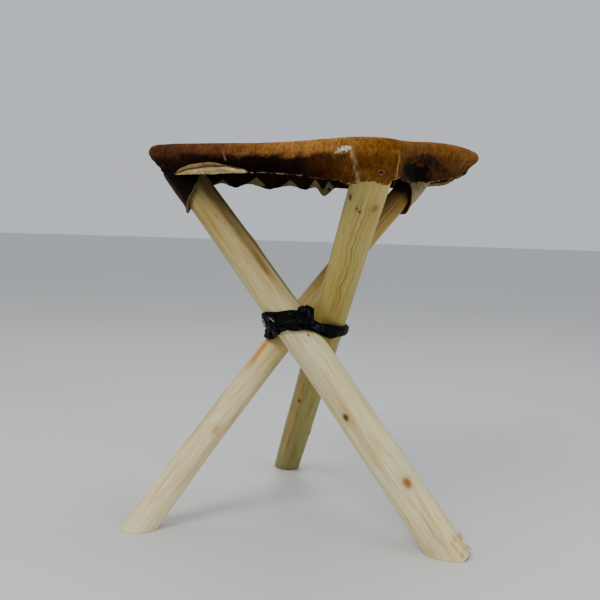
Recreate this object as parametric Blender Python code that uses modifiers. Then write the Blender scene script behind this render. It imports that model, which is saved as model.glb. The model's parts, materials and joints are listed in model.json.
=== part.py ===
"""Three-legged folding stool: three round poles crossed inside a hide lashing, with a hide seat.

Units are metres and degrees, +Z is up and the soles stand on z = 0. The three poles lean past each
other at the crossing like a sheaf, each in its own vertical plane. A leg is named after the place
of its foot. Its top holds up the opposite corner of the seat, inside a hide pocket.
"""

import math

import bmesh
import bpy
from mathutils import Matrix, Vector

# --- driving dimensions -------------------------------------------------------------------------
GAP = 0.0003  # between neighbouring solids
ORIGIN_SHIFT = Vector((-0.0085, -0.0152, 0.0))  # from the crossing's foot point to the box centre

CROSSING_HEIGHT = 0.236
POLE_SIDES = 20
POLE_RINGS = 24

# crossing: where the axis passes the crossing height; heading: the way that the top leans;
# tilt: from the vertical; bow: how far both ends droop; top_height: of the axis at its upper end
LEGS = {
    "leg_front_right": {
        "crossing": (-0.0128, -0.0240),
        "heading": 150.2,
        "tilt": 41.8,
        "foot_radius": 0.0241,
        "top_radius": 0.0217,
        "bow": 0.004,
        "top_height": 0.433,
    },
    "leg_front_left": {
        "crossing": (-0.0147, 0.0206),
        "heading": 29.7,
        "tilt": 41.6,
        "foot_radius": 0.0196,
        "top_radius": 0.0150,
        "bow": 0.0087,
        "top_height": 0.446,
    },
    "leg_rear": {
        "crossing": (0.0274, 0.0034),
        "heading": -76.9,
        "tilt": 42.7,
        "foot_radius": 0.0203,
        "top_radius": 0.0216,
        "bow": 0.001,
        "top_height": 0.4245,
    },
}

POCKET_WALL = 0.0025
SLANTED_WALL = 1.1  # how much thicker the slanted mouth makes the thickened wall
# long_side: reach of the sleeve down the outer side of the leg, from the leg's end;
# short_side: the same on the opposite side; long_at: where the long side is, as an angle round
# the leg from its lower, outer side
POCKETS = {
    "pocket_left": {
        "leg": "leg_front_right",
        "long_side": 0.060,
        "short_side": 0.020,
        "long_at": 50.0,
    },
    "pocket_right": {
        "leg": "leg_front_left",
        "long_side": 0.066,
        "short_side": 0.030,
        "long_at": 0.0,
    },
    "pocket_front": {
        "leg": "leg_rear",
        "long_side": 0.0135,
        "short_side": 0.012,
        "long_at": 0.0,
    },
}
POCKET_SIDES = 20

# The seat's plan is three round corners joined by slightly hollow sides.
# centre and radius: of the corner's arc; rim: height of the seat's top there;
# hem: height of the skirt's lower edge; tuck: how far the hem is drawn in under the corner
SEAT_CORNERS = (
    {"centre": (-0.1665, 0.058), "radius": 0.0425, "rim": 0.4560, "hem": 0.420, "tuck": 0.014},
    {"centre": (0.0565, -0.1676), "radius": 0.0390, "rim": 0.4470, "hem": 0.398, "tuck": 0.001},
    {"centre": (0.190, 0.122), "radius": 0.038, "rim": 0.4665, "hem": 0.442, "tuck": 0.020},
)
SIDE_HOLLOW = 0.011
SIDE_TUCK = 0.003
# middle of each side, after its corner in the list above
SIDE_RIMS = (0.4505, 0.4620, 0.4560)
SIDE_HEMS = (0.414, 0.414, 0.411)
HIDE_THICKNESS = 0.004
SEAT_SAG = 0.012
SEAT_FLAT_FROM = 0.62  # share of the way out where the sag has run out
RIM_LEVEL_FROM = 0.80  # share of the way out where the hide has reached the rim's height
RIM_ROUND = 0.009
ARC_STEPS = 8
SIDE_STEPS = 8

LASHING_LEVEL = 0.236
LASHING_HEIGHT = 0.022
LASHING_THICKNESS = 0.0045
LASHING_SEGMENTS = 48
LASHING_LEFT_RISE = 0.003  # the band climbs this much towards the left,
LASHING_FRONT_RISE = 0.008  # and this much towards the front
KNOT_ANGLE = 212.0
KNOT_HALF = (0.012, 0.006, 0.010)

LACE_RADIUS = 0.0014
LACE_KNOT_RADIUS = 0.0032
LACE_CLEARANCE = 0.0005
# aim: direction from the leg's axis out through the skirt; height: of the lace
LACES = {
    "lace_knot_left": {"pocket": "pocket_left", "aim": -120.0, "height": 0.4300},
    "lace_knot_front": {"pocket": "pocket_front", "aim": -112.0, "height": 0.4090},
    "lace_knot_right": {"pocket": "pocket_right", "aim": 96.0, "height": 0.4300},
}


# --- scene and mesh helpers ---------------------------------------------------------------------
def clear_scene():
    for item in list(bpy.data.objects):
        bpy.data.objects.remove(item, do_unlink=True)


def collection(name):
    made = bpy.data.collections.new(name)
    bpy.context.scene.collection.children.link(made)
    return made


def material(name, color, roughness):
    made = bpy.data.materials.new(name)
    made.use_nodes = True
    shader = made.node_tree.nodes["Principled BSDF"]
    shader.inputs["Base Color"].default_value = (*color, 1.0)
    shader.inputs["Roughness"].default_value = roughness
    shader.inputs["Metallic"].default_value = 0.0
    return made


def mesh_object(name, mesh, finish, into):
    made = bpy.data.objects.new(name, mesh)
    made.data.materials.append(finish)
    into.objects.link(made)
    return made


def skin_rings(bm, rings, cyclic=False):
    """Join rings of equally many points by quads; cyclic also joins the last ring to the first."""
    count = len(rings[0])
    pairs = list(zip(rings, rings[1:]))
    if cyclic:
        pairs.append((rings[-1], rings[0]))
    for low, high in pairs:
        for i in range(count):
            j = (i + 1) % count
            bm.faces.new((low[i], low[j], high[j], high[i]))


def closed_mesh(name, bm):
    bmesh.ops.recalc_face_normals(bm, faces=bm.faces[:])
    mesh = bpy.data.meshes.new(name)
    bm.to_mesh(mesh)
    bm.free()
    mesh.shade_smooth()
    mesh.set_sharp_from_angle(angle=math.radians(40))
    return mesh


def loft(name, rings, cyclic=False):
    """A closed solid through rings of points: capped at both ends, or joined end to end."""
    bm = bmesh.new()
    built = [[bm.verts.new(point) for point in ring] for ring in rings]
    skin_rings(bm, built, cyclic)
    if not cyclic:
        bm.faces.new(built[0])
        bm.faces.new(built[-1])
    return closed_mesh(name, bm)


def shell(name, rings, thickness, side, finish, into):
    """A skin through rings, closed over the last one and open at the first, thickened to one side.

    Rings run anticlockwise as seen from the closed end; side is 1 for outwards and -1 for inwards.
    """
    bm = bmesh.new()
    built = [[bm.verts.new(point) for point in ring] for ring in rings]
    skin_rings(bm, built)
    bm.faces.new(built[-1])
    mesh = bpy.data.meshes.new(name)
    bm.to_mesh(mesh)
    bm.free()
    mesh.shade_smooth()
    made = mesh_object(name, mesh, finish, into)
    wall = made.modifiers.new("wall", "SOLIDIFY")
    wall.thickness = thickness
    wall.offset = side
    wall.use_even_offset = True
    return made


def as_cutter(item):
    item.hide_render = True
    item.display_type = "WIRE"


def boolean(target, cutter, operation):
    step = target.modifiers.new(operation.lower(), "BOOLEAN")
    step.operation = operation
    step.solver = "EXACT"
    step.object = cutter


# --- poles --------------------------------------------------------------------------------------
def leg_frame(leg):
    """Crossing point, unit direction up the pole, and the unit vector out to its lower side."""
    heading = math.radians(leg["heading"])
    tilt = math.radians(leg["tilt"])
    flat = Vector((math.cos(heading), math.sin(heading), 0.0))
    up = flat * math.sin(tilt) + Vector((0.0, 0.0, math.cos(tilt)))
    outer = flat * math.cos(tilt) - Vector((0.0, 0.0, math.sin(tilt)))
    crossing = Vector((*leg["crossing"], CROSSING_HEIGHT))
    return crossing, up, outer


def end_distance(leg):
    """Length of the pole from the crossing to its upper end."""
    return (leg["top_height"] - CROSSING_HEIGHT) / math.cos(math.radians(leg["tilt"]))


def foot_distance(leg):
    return CROSSING_HEIGHT / math.cos(math.radians(leg["tilt"]))


def axis_point(leg, distance):
    """Point of the bowed axis at a distance up the pole from the crossing."""
    crossing, up, outer = leg_frame(leg)
    foot = -foot_distance(leg)
    top = end_distance(leg)
    share = 2.0 * (distance - foot) / (top - foot) - 1.0
    share_crossing = 2.0 * -foot / (top - foot) - 1.0
    return crossing + up * distance + outer * leg["bow"] * (share**2 - share_crossing**2)


def pole_radius(leg, distance):
    foot = -foot_distance(leg)
    share = (distance - foot) / (end_distance(leg) - foot)
    return leg["foot_radius"] + (leg["top_radius"] - leg["foot_radius"]) * share


def pole_ring(leg, distances, radius, sides):
    """A ring round the pole; distances gives the distance up the pole at each angle.

    Angle 0 is the lower, outer side, and 180 the side that faces up and inwards.
    """
    _, up, outer = leg_frame(leg)
    across = up.cross(outer)
    ring = []
    for i in range(sides):
        angle = 2.0 * math.pi * i / sides
        distance = distances(angle)
        spoke = outer * math.cos(angle) + across * math.sin(angle)
        ring.append(axis_point(leg, distance) + spoke * radius(distance))
    return ring


def build_pole(name, leg, finish, into):
    """A tapered, slightly bowed pole, cut square at the top and sawn level at the foot."""
    overrun = leg["foot_radius"] * 1.6
    low = -foot_distance(leg) - overrun
    high = end_distance(leg)
    rings = []
    for i in range(POLE_RINGS + 1):
        distance = low + (high - low) * i / POLE_RINGS
        rings.append(
            pole_ring(leg, lambda angle, d=distance: d, lambda d: pole_radius(leg, d), POLE_SIDES)
        )
    bm = bmesh.new()
    built = [[bm.verts.new(point) for point in ring] for ring in rings]
    skin_rings(bm, built)
    bm.faces.new(built[0])
    bm.faces.new(built[-1])
    bmesh.ops.recalc_face_normals(bm, faces=bm.faces[:])
    section = bm.verts[:] + bm.edges[:] + bm.faces[:]
    ground = Vector((0.0, 0.0, 0.0))
    cut = bmesh.ops.bisect_plane(
        bm, geom=section, dist=1e-6, plane_co=ground, plane_no=(0.0, 0.0, 1.0), clear_inner=True
    )
    edges = [item for item in cut["geom_cut"] if isinstance(item, bmesh.types.BMEdge)]
    bmesh.ops.contextual_create(bm, geom=edges)
    return mesh_object(name, closed_mesh(name, bm), finish, into)


# --- pockets ------------------------------------------------------------------------------------
def build_pocket(name, pocket, finish, into):
    """A hide cup over the end of a leg, cut long on one side and short on the other."""
    leg = LEGS[pocket["leg"]]
    end = end_distance(leg)
    mean = (pocket["long_side"] + pocket["short_side"]) / 2.0
    swing = (pocket["long_side"] - pocket["short_side"]) / 2.0

    def mouth(angle):
        return end - mean - swing * math.cos(angle - math.radians(pocket["long_at"]))

    def radius(distance):
        return pole_radius(leg, distance) + GAP

    def level(share):
        return lambda angle: mouth(angle) + (end + GAP - mouth(angle)) * share

    rings = [pole_ring(leg, level(share), radius, POCKET_SIDES) for share in (0.0, 0.5, 1.0)]
    return shell(name, rings, POCKET_WALL, 1.0, finish, into)


# --- seat ---------------------------------------------------------------------------------------
def smooth(share):
    share = min(max(share, 0.0), 1.0)
    return share * share * (3.0 - 2.0 * share)


def side_normal(here, there):
    """Outward normal of the straight line that touches both corner arcs."""
    line = Vector(there["centre"]) - Vector(here["centre"])
    lean = math.asin((here["radius"] - there["radius"]) / line.length)
    angle = math.atan2(line.y, line.x) - math.pi / 2.0 + lean
    return angle


def seat_outline():
    """Points of the plan, anticlockwise: (position, outward normal, rim height, hem height, tuck)."""
    count = len(SEAT_CORNERS)
    outline = []
    for k, corner in enumerate(SEAT_CORNERS):
        before = SEAT_CORNERS[k - 1]
        after = SEAT_CORNERS[(k + 1) % count]
        start = side_normal(before, corner)
        stop = side_normal(corner, after)
        while stop < start:
            stop += 2.0 * math.pi
        centre = Vector(corner["centre"])
        for i in range(ARC_STEPS + 1):
            share = i / ARC_STEPS
            angle = start + (stop - start) * share
            normal = Vector((math.cos(angle), math.sin(angle)))
            peak = math.sin(math.pi * share)
            hem_before = (SIDE_HEMS[k - 1] + corner["hem"]) / 2.0
            hem_after = (SIDE_HEMS[k] + corner["hem"]) / 2.0
            edge = hem_before if share < 0.5 else hem_after
            hem = edge + (corner["hem"] - edge) * peak
            tuck = SIDE_TUCK + (corner["tuck"] - SIDE_TUCK) * peak
            outline.append((centre + normal * corner["radius"], normal, corner["rim"], hem, tuck))
        normal = Vector((math.cos(stop), math.sin(stop)))
        first = centre + normal * corner["radius"]
        last = Vector(after["centre"]) + normal * after["radius"]
        hem_start = (SIDE_HEMS[k] + corner["hem"]) / 2.0
        hem_end = (SIDE_HEMS[k] + after["hem"]) / 2.0
        for i in range(1, SIDE_STEPS):
            share = i / SIDE_STEPS
            hollow = SIDE_HOLLOW * math.sin(math.pi * share) ** 2
            rim = corner["rim"] + (after["rim"] - corner["rim"]) * smooth(share)
            middle_rim = SIDE_RIMS[k] - (corner["rim"] + after["rim"]) / 2.0
            rim += middle_rim * math.sin(math.pi * share)
            straight = hem_start + (hem_end - hem_start) * share
            middle = SIDE_HEMS[k] - (hem_start + hem_end) / 2.0
            hem = straight + middle * math.sin(math.pi * share)
            spot = first + (last - first) * share - normal * hollow
            outline.append((spot, normal, rim, hem, SIDE_TUCK))
    return outline


def seat_surface():
    """Rings of the hide's outer face: from the hem up the skirt, over the rim, in to the middle."""
    outline = seat_outline()
    middle = sum((item[0] for item in outline), Vector((0.0, 0.0))) / len(outline)
    middle_rim = sum(item[2] for item in outline) / len(outline)
    rings = []
    for share in (1.0, 0.5):
        ring = []
        for spot, normal, rim, hem, tuck in outline:
            flat = spot - normal * tuck * smooth(share)
            ring.append(Vector((*flat, rim - RIM_ROUND + (hem - rim + RIM_ROUND) * share)))
        rings.append(ring)
    for turn in (90.0, 60.0, 30.0, 0.0):
        angle = math.radians(turn)
        ring = []
        for spot, normal, rim, _, _ in outline:
            flat = spot - normal * RIM_ROUND * (1.0 - math.sin(angle))
            ring.append(Vector((*flat, rim - RIM_ROUND * (1.0 - math.cos(angle)))))
        rings.append(ring)
    for share in (RIM_LEVEL_FROM, SEAT_FLAT_FROM, 0.38, 0.12):
        sag = SEAT_SAG * (1.0 - smooth(share / SEAT_FLAT_FROM))
        ring = []
        for spot, _, rim, _, _ in outline:
            flat = middle + (spot - middle) * share
            level = middle_rim + (rim - middle_rim) * smooth(share / RIM_LEVEL_FROM) - sag
            ring.append(Vector((*flat, level)))
        rings.append(ring)
    return rings


def build_seat(finish, into, cutters):
    """The hide: a top that sags in the middle, a rounded rim and a skirt down to the hem."""
    seat = shell("seat_hide", seat_surface(), HIDE_THICKNESS, -1.0, finish, into)
    for cutter in cutters:
        boolean(seat, cutter, "DIFFERENCE")
    return seat


# --- laces --------------------------------------------------------------------------------------
def skirt_distance(origin, aim, height):
    """How far the skirt's outer face is from origin along the plan direction aim."""
    rings = seat_surface()[:3]
    best = None
    for lower, upper in zip(rings, rings[1:]):
        for i in range(len(upper)):
            j = (i + 1) % len(upper)
            ends = []
            for k in (i, j):
                drop = upper[k].z - lower[k].z
                share = (upper[k].z - height) / drop
                if not -0.02 <= share <= 1.02:
                    break
                ends.append((upper[k] + (lower[k] - upper[k]) * share).xy - origin)
            if len(ends) < 2:
                continue
            edge = ends[1] - ends[0]
            denominator = aim.x * edge.y - aim.y * edge.x
            if abs(denominator) < 1e-9:
                continue
            along = (ends[0].x * edge.y - ends[0].y * edge.x) / denominator
            across = (ends[0].x * aim.y - ends[0].y * aim.x) / denominator
            if along > 0.0 and -0.01 <= across <= 1.01 and (best is None or along < best):
                best = along
    return best


def cylinder_between(name, start, stop, radius, sides=10):
    bm = bmesh.new()
    span = stop - start
    turn = span.to_track_quat("Z", "Y").to_matrix().to_4x4()
    place = Matrix.Translation((start + stop) / 2.0) @ turn
    bmesh.ops.create_cone(
        bm,
        cap_ends=True,
        segments=sides,
        radius1=radius,
        radius2=radius,
        depth=span.length,
        matrix=place,
    )
    return closed_mesh(name, bm)


def lace_line(lace):
    """Start near the pocket and end outside the skirt."""
    leg = LEGS[POCKETS[lace["pocket"]]["leg"]]
    distance = (lace["height"] - CROSSING_HEIGHT) / math.cos(math.radians(leg["tilt"]))
    axis = axis_point(leg, distance)
    axis.z = lace["height"]
    aim_angle = math.radians(lace["aim"])
    aim = Vector((math.cos(aim_angle), math.sin(aim_angle)))
    heading = math.radians(leg["heading"] - lace["aim"])
    tilt = math.radians(leg["tilt"])
    wall = pole_radius(leg, distance) + GAP + POCKET_WALL * SLANTED_WALL
    stretch = math.sqrt((math.cos(heading) * math.cos(tilt)) ** 2 + math.sin(heading) ** 2)
    near = wall / stretch + LACE_RADIUS
    far = skirt_distance(axis.xy, aim, lace["height"])
    out = Vector((aim.x, aim.y, 0.0))
    return axis + out * near, axis + out * (far + LACE_KNOT_RADIUS * 0.7)


def build_lace(name, lace, finish, into, cutter_set):
    """A knotted hide lace through the skirt, ending against the pocket, and its two cutters."""
    start, stop = lace_line(lace)
    shank = mesh_object(name, cylinder_between(name, start, stop, LACE_RADIUS), finish, into)
    bm = bmesh.new()
    bmesh.ops.create_uvsphere(
        bm,
        u_segments=12,
        v_segments=8,
        radius=LACE_KNOT_RADIUS,
        matrix=Matrix.Translation(stop + (stop - start).normalized() * LACE_KNOT_RADIUS * 0.9),
    )
    knot = mesh_object(name + "_head", closed_mesh(name + "_head", bm), finish, cutter_set)
    boolean(shank, knot, "UNION")
    reach = (stop - start).normalized() * 0.012
    hole_mesh = cylinder_between(
        name + "_hole", start - reach * 0.05, stop + reach, LACE_RADIUS + LACE_CLEARANCE, 12
    )
    hole = mesh_object(name + "_hole", hole_mesh, finish, cutter_set)
    as_cutter(knot)
    as_cutter(hole)
    return shank, knot, hole


# --- lashing ------------------------------------------------------------------------------------
def pole_support(leg, level, aim):
    """How far the pole's section at a height reaches in the plan direction aim."""
    tilt = math.radians(leg["tilt"])
    distance = (level - CROSSING_HEIGHT) / math.cos(tilt)
    centre = axis_point(leg, distance).xy
    radius = pole_radius(leg, distance)
    turn = math.radians(leg["heading"]) - math.atan2(aim.y, aim.x)
    reach = math.hypot(radius * math.sin(turn), radius / math.cos(tilt) * math.cos(turn))
    return centre.dot(aim) + reach


def lashing_level(angle):
    """Height of the middle of the band, which climbs towards the left and the front."""
    rise = LASHING_LEFT_RISE * math.cos(angle) + LASHING_FRONT_RISE * math.sin(angle)
    return LASHING_LEVEL - rise


def bundle_reach(angle):
    """Radius of the taut loop round all three poles, in a plan direction."""
    best = 1.0
    for i in range(-17, 18):
        other = angle + math.radians(5.0 * i)
        aim = Vector((math.cos(other), math.sin(other)))
        support = 0.0
        for leg in LEGS.values():
            for offset in (-0.5, -0.25, 0.0, 0.25, 0.5):
                level = lashing_level(angle) + LASHING_HEIGHT * offset
                support = max(support, pole_support(leg, level, aim))
        best = min(best, support / math.cos(math.radians(5.0 * i)))
    return best


def build_lashing(finish, into, cutter_set):
    """A hide strip pulled tight round the crossing, with a tucked knot at the left front."""
    half = LASHING_HEIGHT / 2.0
    clearance = GAP * 3.0
    thick = LASHING_THICKNESS
    section = (
        (clearance, -half),
        (clearance + thick * 0.7, -half),
        (clearance + thick, -half * 0.7),
        (clearance + thick, half * 0.7),
        (clearance + thick * 0.7, half),
        (clearance, half),
    )
    rings = []
    for i in range(LASHING_SEGMENTS):
        angle = 2.0 * math.pi * i / LASHING_SEGMENTS
        reach = bundle_reach(angle)
        level = lashing_level(angle)
        ring = []
        for out, rise in section:
            radius = reach + out
            ring.append(Vector((radius * math.cos(angle), radius * math.sin(angle), level + rise)))
        rings.append(ring)
    band = mesh_object("lashing_strip", loft("lashing_strip", rings, cyclic=True), finish, into)
    knot_angle = math.radians(KNOT_ANGLE)
    out = bundle_reach(knot_angle) + clearance + thick * 0.8
    place = Matrix.Translation(
        (out * math.cos(knot_angle), out * math.sin(knot_angle), lashing_level(knot_angle))
    )
    turn = Matrix.Rotation(knot_angle + math.pi / 2.0, 4, "Z")
    squeeze = Matrix.Diagonal((*KNOT_HALF, 1.0))
    outwards = Vector((math.cos(knot_angle), math.sin(knot_angle), 0.0))
    bm = bmesh.new()
    bmesh.ops.create_uvsphere(
        bm, u_segments=16, v_segments=10, radius=1.0, matrix=place @ turn @ squeeze
    )
    bmesh.ops.bisect_plane(
        bm,
        geom=bm.verts[:] + bm.edges[:] + bm.faces[:],
        plane_co=place.translation - outwards * thick * 0.5,
        plane_no=outwards,
        clear_inner=True,
    )
    bmesh.ops.holes_fill(bm, edges=[edge for edge in bm.edges if edge.is_boundary])
    knot = mesh_object("lashing_knot", closed_mesh("lashing_knot", bm), finish, cutter_set)
    as_cutter(knot)
    boolean(band, knot, "UNION")
    return [band, knot]


# --- assembly -----------------------------------------------------------------------------------
def main():
    clear_scene()
    stool = collection("three_leg_stool")
    cutter_set = collection("cutters")

    wood = material("peeled_pole", (0.68, 0.56, 0.33), 0.55)
    hair = material("hair_on_hide", (0.26, 0.11, 0.035), 0.8)
    inner_hide = material("pocket_hide", (0.15, 0.07, 0.035), 0.6)
    flesh_side = material("flesh_side_hide", (0.50, 0.40, 0.24), 0.7)
    black_hide = material("black_hide_strip", (0.012, 0.012, 0.014), 0.45)
    lace_hide = material("lace_hide", (0.05, 0.03, 0.02), 0.6)

    base = bpy.data.objects.new("stool_origin", None)
    base.location = ORIGIN_SHIFT
    stool.objects.link(base)

    moving = {name: [build_pole(name, leg, wood, stool)] for name, leg in LEGS.items()}
    for name, pocket in POCKETS.items():
        finish = flesh_side if name == "pocket_right" else inner_hide
        moving[pocket["leg"]].append(build_pocket(name, pocket, finish, stool))
    holes = []
    for name, lace in LACES.items():
        knotted, knot, hole = build_lace(name, lace, lace_hide, stool, cutter_set)
        moving[POCKETS[lace["pocket"]]["leg"]] += [knotted, knot]
        holes.append(hole)
    fixed = [build_seat(hair, stool, holes), *build_lashing(black_hide, stool, cutter_set)]

    for item in fixed + holes:
        item.parent = base
    for name, items in moving.items():
        pivot = Vector((*LEGS[name]["crossing"], CROSSING_HEIGHT))
        hinge = bpy.data.objects.new("fold_of_" + name, None)
        hinge.location = pivot
        hinge.parent = base
        stool.objects.link(hinge)
        for item in items:
            item.data.transform(Matrix.Translation(-pivot))
            item.parent = hinge


main()
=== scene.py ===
"""Visual model of the three-legged folding stool: peeled poles, hair-on hide seat, hide lashing.

Metres and degrees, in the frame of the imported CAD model. Angles about the seat are compass-like:
0 along +X, anticlockwise, from the middle of the seat.
"""

import itertools
import json
import math

import bpy
import numpy as np
from mathutils import Matrix, Vector
from mathutils.bvhtree import BVHTree


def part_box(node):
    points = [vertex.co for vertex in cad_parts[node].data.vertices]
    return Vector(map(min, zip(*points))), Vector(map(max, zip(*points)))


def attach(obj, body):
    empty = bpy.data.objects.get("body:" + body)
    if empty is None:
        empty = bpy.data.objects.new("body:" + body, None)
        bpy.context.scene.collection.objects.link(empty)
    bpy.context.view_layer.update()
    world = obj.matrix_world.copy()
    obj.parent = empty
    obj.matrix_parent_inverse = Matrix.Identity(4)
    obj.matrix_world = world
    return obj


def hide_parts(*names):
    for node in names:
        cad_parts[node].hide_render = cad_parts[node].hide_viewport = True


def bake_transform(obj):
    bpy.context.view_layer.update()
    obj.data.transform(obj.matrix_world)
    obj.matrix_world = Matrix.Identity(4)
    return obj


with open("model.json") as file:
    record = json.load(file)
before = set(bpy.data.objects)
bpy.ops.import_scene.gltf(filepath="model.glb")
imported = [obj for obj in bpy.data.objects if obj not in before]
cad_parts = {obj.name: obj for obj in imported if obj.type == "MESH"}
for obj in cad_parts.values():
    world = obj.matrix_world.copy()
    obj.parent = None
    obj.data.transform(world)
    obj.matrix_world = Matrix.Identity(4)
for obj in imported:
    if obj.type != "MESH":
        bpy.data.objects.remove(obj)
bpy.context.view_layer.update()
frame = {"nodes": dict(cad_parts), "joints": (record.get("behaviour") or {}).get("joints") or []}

JOINTS = {joint["child"]: joint for joint in frame["joints"]}
ROOT = "lashing_and_seat"

# by the corner of the seat that a leg holds up: its pole, its body, and the pocket and lace on it
LEGS = {
    corner: {
        "pole": "leg_" + foot,
        "body": foot + "_leg",
        "pocket": "pocket_" + corner,
        "lace": "lace_knot_" + corner,
    }
    for corner, foot in (("right", "front_left"), ("left", "front_right"), ("front", "rear"))
}


# --- numbers ------------------------------------------------------------------------------------
PRIMES = (73856093, 19349663, 83492791)
SCRAMBLE = 0x45D9F3B
OCTAVE_FADE = 0.55


def ease(values):
    values = np.clip(values, 0.0, 1.0)
    return values * values * (3.0 - 2.0 * values)


def window(values, centre, half):
    """1 at centre, falling smoothly to 0 at half away from it."""
    return ease(1.0 - np.abs(values - centre) / half)


def angle_gap(angles, centre):
    """Signed difference of angles in degrees, -180 to 180."""
    return (angles - centre + 180.0) % 360.0 - 180.0


def near(angles, centre, half):
    """A window on angles in degrees."""
    return window(angle_gap(angles, centre), 0.0, half)


def arc(angles, first, last, soft):
    """1 between two angles in degrees, with ends that fade over soft degrees."""
    middle = (first + last) / 2.0
    half = (last - first) / 2.0
    return ease((half + soft - np.abs(angle_gap(angles, middle))) / soft)


def stretch(values, low, high, soft):
    """1 between low and high, fading to 0 at both of them over soft."""
    return ease((values - low) / soft) * ease((high - values) / soft)


def xyz(x, y=0.0, z=0.0):
    """Points from coordinates that broadcast together."""
    return np.stack(np.broadcast_arrays(x, y, z), axis=-1)


def circle(count):
    return np.linspace(0.0, 2.0 * np.pi, count, endpoint=False)


def lattice(points, seed):
    """Smooth random values from -1 to 1 at points that are given in cells."""
    cell = np.floor(points).astype(np.int64)
    part = ease(points - cell)
    total = np.zeros(points.shape[:-1])
    for corner in itertools.product((0, 1), repeat=3):
        key = (cell + np.array(corner)) * PRIMES
        mixed = ((key[..., 0] ^ key[..., 1] ^ key[..., 2]) + seed * 977) & 0xFFFFFFFF
        for _ in range(2):
            mixed = ((mixed >> 16) ^ mixed) * SCRAMBLE & 0xFFFFFFFF
        mixed = (mixed >> 16) ^ mixed
        weight = np.prod(np.where(np.array(corner) == 1, part, 1.0 - part), axis=-1)
        total += weight * (mixed / 0x7FFFFFFF - 1.0)
    return total


def rough(points, cell, seed, octaves=3):
    """Fractal noise, about -1 to 1, with its largest cells cell metres wide."""
    total = np.zeros(points.shape[:-1])
    for octave in range(octaves):
        finer = lattice(points * 2.0**octave / np.array(cell), seed + octave)
        total += finer * OCTAVE_FADE**octave
    return total / 1.6


def smooth_round(values, width):
    """Gaussian smoothing of values on a closed ring."""
    reach = int(3 * width) + 1
    kernel = np.exp(-0.5 * (np.arange(-reach, reach + 1) / width) ** 2)
    wrapped = np.concatenate((values[-reach:], values, values[:reach]))
    return np.convolve(wrapped, kernel / kernel.sum(), "valid")


def keyed(places, keys, column=1, period=360.0):
    """Numbers or colours at places, from keys of (place, value, ...)."""
    at = [key[0] for key in keys]
    values = np.array([key[column] for key in keys], float)
    if values.ndim == 1:
        return np.interp(places, at, values, period=period)
    parts = [np.interp(places, at, part, period=period) for part in values.T]
    return np.stack(parts, axis=-1)


def mix(under, over, share):
    share = np.asarray(share)[..., None]
    return under * (1.0 - share) + np.asarray(over) * share


def plain(shape, colour):
    """One colour at every point of a shape."""
    return np.zeros(tuple(shape) + (3,)) + colour


# --- meshes -------------------------------------------------------------------------------------
def grid_faces(rows, columns, offset=0, wrap=True, flip=False):
    """Quads between rows of points; wrap joins the last column to the first."""
    faces = []
    for row in range(rows - 1):
        here = offset + row * columns
        there = here + columns
        for i in range(columns if wrap else columns - 1):
            j = (i + 1) % columns
            quad = (here + i, here + j, there + j, there + i)
            faces.append(quad[::-1] if flip else quad)
    return faces


def end_caps(rows, columns, offset=0):
    """A face over each end of a tube of rings."""
    first = range(offset, offset + columns)
    last = range(offset + (rows - 1) * columns, offset + rows * columns)
    return [tuple(first)[::-1], tuple(last)]


def new_mesh(name, points, faces, colours, finishes, normals=None, uv=None, grain=None):
    """A mesh object from points, faces and per-point colour layers {layer: rows of rgb}."""
    mesh = bpy.data.meshes.new(name)
    mesh.from_pydata(np.asarray(points).reshape(-1, 3).tolist(), [], faces)
    mesh.shade_smooth()
    for layer, values in colours.items():
        made = mesh.color_attributes.new(layer, "FLOAT_COLOR", "POINT")
        rgb = np.asarray(values).reshape(-1, 3)
        rgba = np.concatenate((rgb, np.ones((len(rgb), 1))), axis=1)
        made.data.foreach_set("color", np.clip(rgba, 0.0, 1.0).astype(np.float32).ravel())
    if grain is not None:
        made = mesh.attributes.new("grain", "FLOAT_VECTOR", "POINT")
        made.data.foreach_set("vector", np.asarray(grain).astype(np.float32).ravel())
    if uv is not None:
        layer = mesh.uv_layers.new(name="along")
        loops = np.zeros(len(mesh.loops), np.int32)
        mesh.loops.foreach_get("vertex_index", loops)
        layer.data.foreach_set("uv", np.asarray(uv)[loops].astype(np.float32).ravel())
    mesh.validate()
    if normals is not None:
        mesh.normals_split_custom_set_from_vertices(np.asarray(normals).tolist())
    made = bpy.data.objects.new(name, mesh)
    bpy.context.scene.collection.objects.link(made)
    for finish in finishes:
        mesh.materials.append(finish)
    return made


def cad_points(node):
    mesh = frame["nodes"][node].data
    points = np.zeros(len(mesh.vertices) * 3)
    mesh.vertices.foreach_get("co", points)
    return points.reshape(-1, 3)


def cad_tree(node):
    mesh = frame["nodes"][node].data
    faces = [tuple(face.vertices) for face in mesh.polygons]
    return BVHTree.FromPolygons([v.co for v in mesh.vertices], faces)


def tube_rings(path, radii, sides, squeeze):
    """Rings of points round a path of at least two points."""
    along = np.gradient(path, axis=0)
    along /= np.linalg.norm(along, axis=1)[:, None]
    across = np.cross(along[0], (0.0, 0.0, 1.0))
    if np.linalg.norm(across) < 0.1:
        across = np.cross(along[0], (1.0, 0.0, 0.0))
    turn = circle(sides)[:, None]
    rings = []
    for centre, ahead, radius in zip(path, along, radii):
        across = across - ahead * (across @ ahead)
        across /= np.linalg.norm(across)
        ring = np.cos(turn) * across * squeeze + np.sin(turn) * np.cross(ahead, across)
        rings.append(centre + ring * radius)
    return np.array(rings)


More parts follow.
